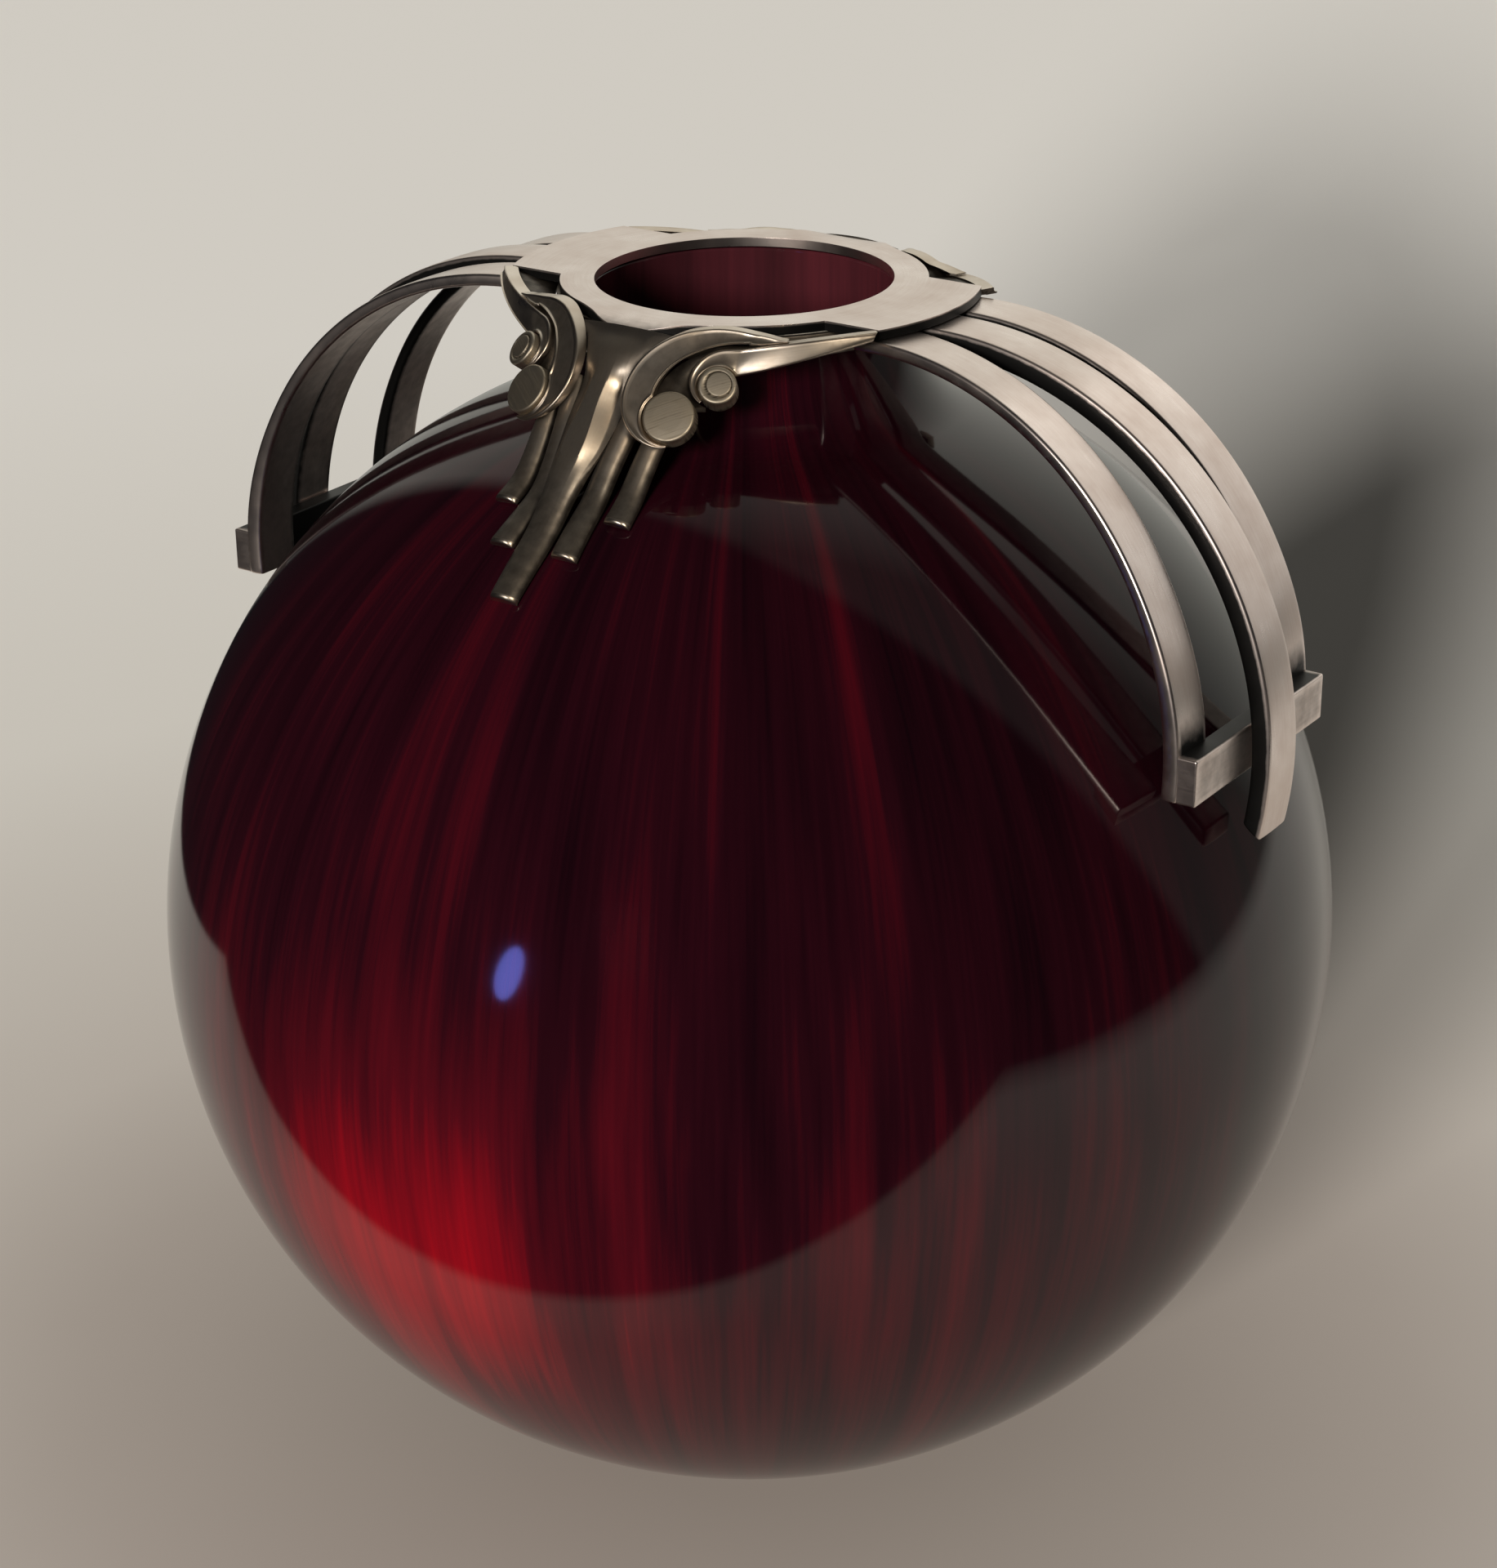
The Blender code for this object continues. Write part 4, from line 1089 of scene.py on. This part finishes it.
# %% [markdown]
# ## The leaf and the reeds
# Between the scrolls a long leaf runs down from the collar's tongue, with two half-round reeds on each
# side. All end in a filed slant that catches the light. They are sections with a round front and a flat
# back, carried down the cone and then along the ball. In the middle of the leaf the round front gives
# way to a flat ridge with two rubbed slopes, and its columns of points follow those slopes. Their
# flanks, down in the grooves between leaf and reeds, darken with patina and painted shade.

# %% Leaf and reeds
LEAF = {"top_half": 0.0062, "waist_half": 0.0037, "waist": 0.0105, "tip_half": 0.0027, "tip": 0.0548,
        "top_thickness": 0.0030, "tip_thickness": 0.0024, "crown": 0.0019, "shoulder": 0.0019}
LEAF_BACK_AT_TOP = -0.0023
LEAF_BACK_SLOPE = 0.0746
LEAF_TOP_SINK = 1.0 * MM
LEAF_FLARE = 0.0030
LEAF_FLARE_LENGTH = 0.0045
LEAF_STEPS = 64
LEAF_UNDER_TONGUE = 0.9     # share of its thickness that the leaf loses under the tongue
LEAF_PATINA = (0.52, 0.30)  # on the upper leaf, and how much is added further down
# Places down the drawing between which the leaf changes.
TONGUE_END = 0.0030
PATINA_FULL = 0.005
SINK_END = 0.006
CROWN_FULL = 0.010
FACET_RISE = (0.007, 0.012)
FACET_PARTING = (0.014, 0.025)
SHOULDER_FALL = (0.016, 0.036)
FACET_FALL = (0.024, 0.031)
PATINA_RISE = (0.026, 0.036)
REED_THICKNESS = 0.0023
REED_CROWN = 0.0015
REED_HALVES = (0.0022, 0.0025)
REEDS = {"inner": (Vector((0.0083, 0.0100)), Vector((0.0066, 0.0445)), 1.6 * MM),
         "outer": (Vector((0.0128, 0.0165)), Vector((0.0123, 0.0357)), 0.4 * MM)}   # top, tip and bow
REED_STEPS = 40
REED_PATINA = (0.50, 0.32)
REED_PATINA_RISE = (0.25, 0.6)
FACET_START = (0.27, 0.45)   # where the two slopes begin, as a share of the half width
FACET_WIDTH = 0.42
FACET_SHARE = 0.85
FACET_STEEPNESS = 0.50
FACET_RIM = 0.03
FACET_RUBBED = 0.7
ROUND_SHARE = 0.96          # a round front stops a little short of a half circle
ROUND_FALL = 1 - math.sqrt(0.04)
# patina and painted shade on flanks down in the grooves
FLANK_PATINA_AND_SHADE = 0.95
TIP_ROUND = 0.0011
TIP_STEPS = 5
LEAF_EDGE = 0.2 * MM


def crown_shares(start, end):
    """Places across a section, as shares of its half width, with some where the slopes begin and end."""
    half = [start / 3, start * 2 / 3, start, start + FACET_RIM]
    half += [start + FACET_WIDTH * share for share in (0.3, 0.5, 0.7)]
    half += [end - FACET_RIM, end] + [end + (1 - end) * share for share in (0.25, 0.5, 0.75, 1.0)]
    return [-share for share in reversed(half)] + [0.0, *half]


def crowned_row(middle, half, v, back, thickness, crown, facet, dark, facing):
    """A section with a flat back. Its front is half-round at facet 0, and flat with two slopes at 1."""
    row = []
    start = mix(*FACET_START, ease(v, *FACET_PARTING))
    end = start + FACET_WIDTH
    for share in crown_shares(start, end):
        far = abs(share)
        slopes = FACET_SHARE * max(0.0, far - start) / FACET_WIDTH
        if far > end:
            slopes = FACET_SHARE + (1 - FACET_SHARE) * (far - end) / (1 - end)
        round_drop = (1 - math.sqrt(1 - ROUND_SHARE * far ** 2)) / ROUND_FALL
        rise = thickness - crown * (round_drop * (1 - facet) + slopes * facet)
        shade = 0.0
        if dark:
            rubbed = facet * (start < far < end)
            shade = mix(dark, FLANK_PATINA_AND_SHADE, far ** 6) * (1 - FACET_RUBBED * rubbed)
        row.append((on_cone(middle + half * share, v, back + rise, facing), half * share, shade))
    for share in (1, -1):
        row.append((on_cone(middle + half * share, v, back, facing), half * share, FLANK_PATINA_AND_SHADE))
    return row


def with_round_tip(stations, tip):
    """Stations with the drop of their front: the last stretch is filed round."""
    filed = [(tip - TIP_ROUND * (1 - math.sin(a)), TIP_ROUND * (1 - math.cos(a)))
             for a in [math.pi / 2 * i / TIP_STEPS for i in range(TIP_STEPS + 1)]]
    return [(v, 0.0) for v in stations if v < tip - TIP_ROUND] + filed


def leaf_half(v):
    """Half the leaf's width at a place down the drawing."""
    shoulder = LEAF["shoulder"] * (1 - ease(v, *SHOULDER_FALL))
    if v > LEAF["waist"]:
        share = (v - LEAF["waist"]) / (LEAF["tip"] - LEAF["waist"])
        return mix(LEAF["waist_half"], LEAF["tip_half"], share) + shoulder
    share = (LEAF["waist"] - v) / LEAF["waist"]
    flare = LEAF_FLARE * max(0.0, 1 - v / LEAF_FLARE_LENGTH) ** 2
    return mix(LEAF["waist_half"], LEAF["top_half"], share ** 2) + flare + shoulder


def leaf_rows(facing):
    """Sections of the leaf, from the collar's tongue to its tip."""
    rows = []
    stations = [LEAF["tip"] * i / LEAF_STEPS for i in range(LEAF_STEPS)]
    for v, filed in with_round_tip(stations, LEAF["tip"]):
        thickness = mix(LEAF["top_thickness"], LEAF["tip_thickness"], v / LEAF["tip"])
        back = soft_max(LEAF_BACK_AT_TOP + LEAF_BACK_SLOPE * v, ball_above_cone(0.0, v) + GAP)
        under_tongue = LEAF_UNDER_TONGUE * thickness * (1 - ease(v, 0.0, TONGUE_END))
        thickness -= under_tongue
        back += under_tongue - LEAF_TOP_SINK * (1 - ease(v, 0.0, SINK_END))
        facet = ease(v, *FACET_RISE) * (1 - ease(v, *FACET_FALL))
        crown = mix(LEAF["crown"], FACET_STEEPNESS * leaf_half(v), facet)
        crown = min(crown * ease(v, 0.0, CROWN_FULL), thickness)
        dark = LEAF_PATINA[0] + LEAF_PATINA[1] * ease(v, *PATINA_RISE)
        dark = 0.0 if filed else dark * ease(v, 0.0, PATINA_FULL)
        rows.append(crowned_row(0.0, leaf_half(v), v, back, thickness - filed, crown, facet, dark, facing))
    return rows


def reed_rows(top, tip, bow, side, facing):
    """Sections of a reed, from the plates' backs to its tip."""
    rows = []
    stations = [top.y + (tip.y - top.y) * i / REED_STEPS for i in range(REED_STEPS)]
    for v, filed in with_round_tip(stations, tip.y):
        share = (v - top.y) / (tip.y - top.y)
        u = mix(top.x, tip.x, share) - bow * math.sin(math.pi * share)
        half = mix(*REED_HALVES, share)
        seat = SCROLL_FRONT - SCROLL_THICKNESS + scroll_bulge(u) - GAP - REED_THICKNESS
        back = soft_max(seat, ball_above_cone(u, v) + GAP)
        crown = REED_CROWN * (1 - filed / TIP_ROUND / 2)
        dark = 0.0 if filed else REED_PATINA[0] + REED_PATINA[1] * ease(share, *REED_PATINA_RISE)
        rows.append(crowned_row(side * u, half, v, back, REED_THICKNESS - filed, crown, 0.0, dark, facing))
    return rows


for ornament, facing in ORNAMENTS:
    dress(f"{ornament}_leaf", leaf_rows(facing), plated_casting, LEAF_EDGE)
    for hand, side in HANDS:
        for pair, (top, tip, bow) in REEDS.items():
            rows = reed_rows(top, tip, bow, side, facing)
            dress(f"{ornament}_{pair}_reed_{hand}", rows, plated_casting, LEAF_EDGE)
print("leaves and reeds:", len(ORNAMENTS) * (1 + len(REEDS) * len(HANDS)))

# %% [markdown]
# ## The table
# The vase stands on pale matt card, painted a little darker round its foot as shade. Gloss shows the room
# as much as the pot, and in the glaze the card ends where a table would, with a pale strip along its near
# edge, a painted reflection that only gloss sees.

# %% Table
TABLE_SIZE = 8.0
TABLE_CELLS = 8
CARD_ROUGHNESS = 0.95
CARD_SPECULAR = 0.1
MOTTLE_SCALE = 9.0
MOTTLE_SHARE = 0.02
CARD_STOPS_WITH_SHADE = ((0.06, "#9b928b"), (0.15, "#b5ada6"), (0.21, "#cbc5be"), (0.41, "#e6e4de"),
              (0.80, "#f2f1ed"))   # colour by distance from the vase's axis, in metres, darker near the foot as painted shade
# painted reflection: a pale strip on the card's near edge that only gloss sees
REFLECTION_STRIP_SPAN = (-0.125, -0.157)
PAINTED_REFLECTION_COLOUR = "#cfc7bf"
# Where the table's image in gloss ends: the axis, the last place that shows and the first that doesn't.
TABLE_EDGES = (("Y", -0.157, -0.165), ("X", -0.44, -0.46), ("X", 0.50, 0.76))

# Card gives an even, shineless ground that lets the shadow read.
paper, add, shader = new_material("pale_card_matt")
wire(shader, {"Roughness": CARD_ROUGHNESS, "Specular IOR Level": CARD_SPECULAR})
where = add("TexCoord").outputs["Object"]
mottle = add("TexNoise", {"Vector": where, "Scale": MOTTLE_SCALE, "Detail": 3.0})
away = add("VectorMath", (where,), operation="LENGTH").outputs["Value"]
shade = add("Math", (mottle, MOTTLE_SHARE, away), operation="MULTIPLY_ADD")
colour = add("ValToRGB", {"Fac": shade}, stops=CARD_STOPS_WITH_SHADE)
spot = add("SeparateXYZ", (where,))
in_gloss = add("LightPath").outputs["Is Glossy Ray"]
# Painted reflection: the near strip is paler only for glossy rays.
reflection_strip = add("MapRange", (spot.outputs["Y"], *REFLECTION_STRIP_SPAN), interpolation_type="SMOOTHSTEP")
painted_reflection = add("Math", (reflection_strip, in_gloss), operation="MULTIPLY")
card = add("Mix", {0: painted_reflection, MIX_A: colour, MIX_B: linear(PAINTED_REFLECTION_COLOUR)}, data_type="RGBA")
wire(shader, {"Base Color": card.outputs[MIX_RESULT]})
beyond = None
for axis, kept, gone in TABLE_EDGES:
    past = add("MapRange", (spot.outputs[axis], kept, gone))
    beyond = past if beyond is None else add("Math", (beyond, past), operation="MAXIMUM")
unseen = add("Math", (beyond, in_gloss), operation="MULTIPLY")
clear = add("BsdfTransparent")
surface = add("MixShader", (unseen, shader, clear))
wire(paper.node_tree.nodes["Material Output"], {"Surface": surface})

bm = bmesh.new()
bmesh.ops.create_grid(bm, x_segments=TABLE_CELLS, y_segments=TABLE_CELLS, size=TABLE_SIZE / 2)
mesh = bpy.data.meshes.new("table_top")
bm.to_mesh(mesh)
bm.free()
mesh.materials.append(paper)
table = bpy.data.objects.new("table_top", mesh)
scene.collection.objects.link(table)
print("table side in m:", TABLE_SIZE)

# %% [markdown]
# ## The room
# Behind the vase the room is pale, brightest towards a window, and in front it is dark, which draws the
# sharp dark shape on the ball. Only gloss sees it. To the camera the room is a plain backdrop, and to
# everything else it is a faint even fill.

# %% Room
PALE_SIDE = Vector((0.0, 0.921, 0.389))
PALE_EDGE = (0.46, 0.50)
WINDOW_SIDE = Vector((-0.35, 0.83, 0.43))
WALL_STOPS = ((0.0, "#70706c"), (0.55, "#66655f"), (0.70, "#a3a29b"), (0.80, "#b6b5ac"),
              (0.90, "#cfcdc3"), (1.0, "#eceadf"))   # from beside the window to straight at it
ROOM_DARK = "#18181a"
BACKDROP = "#cdcbc2"
FILL_LIGHT = "#fffaf2"
AMBIENT = 0.06

room = bpy.data.worlds.new("room")
scene.world = room
room.use_nodes = True
room.cycles.sampling_method = "NONE"
room.node_tree.nodes.clear()
add = partial(add_node, room.node_tree)
look = add("TexCoord").outputs["Generated"]
towards_pale = add("VectorMath", (look, tuple(PALE_SIDE)), operation="DOT_PRODUCT")
edge = add("MapRange", (towards_pale.outputs["Value"], *PALE_EDGE))
towards_window = add("VectorMath", (look, tuple(WINDOW_SIDE)), operation="DOT_PRODUCT")
wall = add("ValToRGB", {"Fac": towards_window.outputs["Value"]}, stops=WALL_STOPS)
walls = add("Mix", {0: edge, MIX_A: linear(ROOM_DARK), MIX_B: wall}, data_type="RGBA")
mirrored = add("Background", {"Color": walls.outputs[MIX_RESULT]})
seen = add("Background", {"Color": linear(BACKDROP)})
fill = add("Background", {"Color": linear(FILL_LIGHT), "Strength": AMBIENT})
path = add("LightPath")
lit = add("MixShader", (path.outputs["Is Glossy Ray"], fill, mirrored))
world = add("MixShader", (path.outputs["Is Camera Ray"], lit, seen))
add("OutputWorld", {"Surface": world})
print("room:", room.name)

# %% [markdown]
# ## The lamps
# In the studio, screens and flags let each part of a subject get its own light. Here soft suns do that,
# each linked to the pieces that it reaches: the sheet metal, the castings, the clay and the table. Two
# suns on the table give its broad soft shadow, and a small cool lamp gives the one blue spot on the ball.

# %% Lamps
DAYLIGHT = "#fffaf3"
WARM_LIGHT = "#fff1da"
COOL_LIGHT = "#7688ff"
LAMP_PLACE = TOWARDS * 0.804 - RIGHT * 0.755 + UP * 0.264
LAMP_SIZE = (0.09, 0.19)
LAMP_SLANT = math.radians(-12)
LAMP_WATTS = 0.45


def linked(name, pieces):
    """A collection of the pieces that one lamp reaches."""
    group = bpy.data.collections.new(name)
    for piece in pieces:
        group.objects.link(piece)
    return group


def sun_lamp(name, left, rise, softness, strength, colour, reach, in_gloss):
    """A soft sun on some pieces only, some degrees left of the camera and above the level."""
    left, rise = math.radians(left), math.radians(rise)
    level = TOWARDS * math.cos(left) - RIGHT * math.sin(left)
    light = bpy.data.lights.new(name, "SUN")
    light.energy = strength
    light.angle = math.radians(softness)
    light.color = linear(colour)[:3]
    sun = bpy.data.objects.new(name, light)
    sun.rotation_euler = (level * math.cos(rise) + UP * math.sin(rise)).to_track_quat("Z", "Y").to_euler()
    sun.visible_glossy = in_gloss
    sun.light_linking.receiver_collection = reach
    scene.collection.objects.link(sun)
    return sun


clay = [ball, bpy.data.objects["neck_plaster_finish"]]
metal = webs + [piece for piece in scene.objects if piece.name.endswith("_finish") and piece not in clay]
bars = [piece for piece in metal if piece.data.materials[0] == plated_sheet]
sheet = linked("sheet_metal", bars)
cast = linked("cast_metal", [piece for piece in metal if piece not in bars])
glazed_and_plaster = linked("clay", clay)
floor = linked("table", [table])
# Name, degrees left of the camera and up, softness in degrees, strength, colour, pieces, seen in gloss.
for sun in (("sun_on_sheet", 26, 17, 16, 2.4, DAYLIGHT, sheet, True),
            ("window_on_sheet", -118, 28, 60, 0.34, DAYLIGHT, sheet, True),
            ("sun_on_casting_left", 26, 17, 16, 0.9, DAYLIGHT, cast, True),
            ("sun_on_casting_right", -24, 23, 16, 0.98, WARM_LIGHT, cast, True),
            ("sun_on_clay", 26, 17, 16, 3.0, DAYLIGHT, glazed_and_plaster, False),
            ("sun_on_table_far", 15.5, 10, 8, 5.6, DAYLIGHT, floor, False),
            ("sun_on_table_near", 27, 11.5, 12, 5.5, DAYLIGHT, floor, False)):
    sun_lamp(*sun)

light = bpy.data.lights.new("cool_lamp", "AREA")
light.shape = "ELLIPSE"
light.size, light.size_y = LAMP_SIZE
light.energy = LAMP_WATTS
light.color = linear(COOL_LIGHT)[:3]
light.cycles.max_bounces = 0
lamp = bpy.data.objects.new("cool_lamp", light)
lamp.location = LAMP_PLACE
lamp.rotation_euler = (LAMP_PLACE - UP * CENTRE_HEIGHT).to_track_quat("Z", "Y").to_euler()
lamp.rotation_euler.rotate_axis("Z", LAMP_SLANT)
lamp.visible_camera = False
lamp.visible_diffuse = False
lamp.light_linking.receiver_collection = linked("glazed", [ball])
scene.collection.objects.link(lamp)
print("metal pieces in the sun:", len(metal))
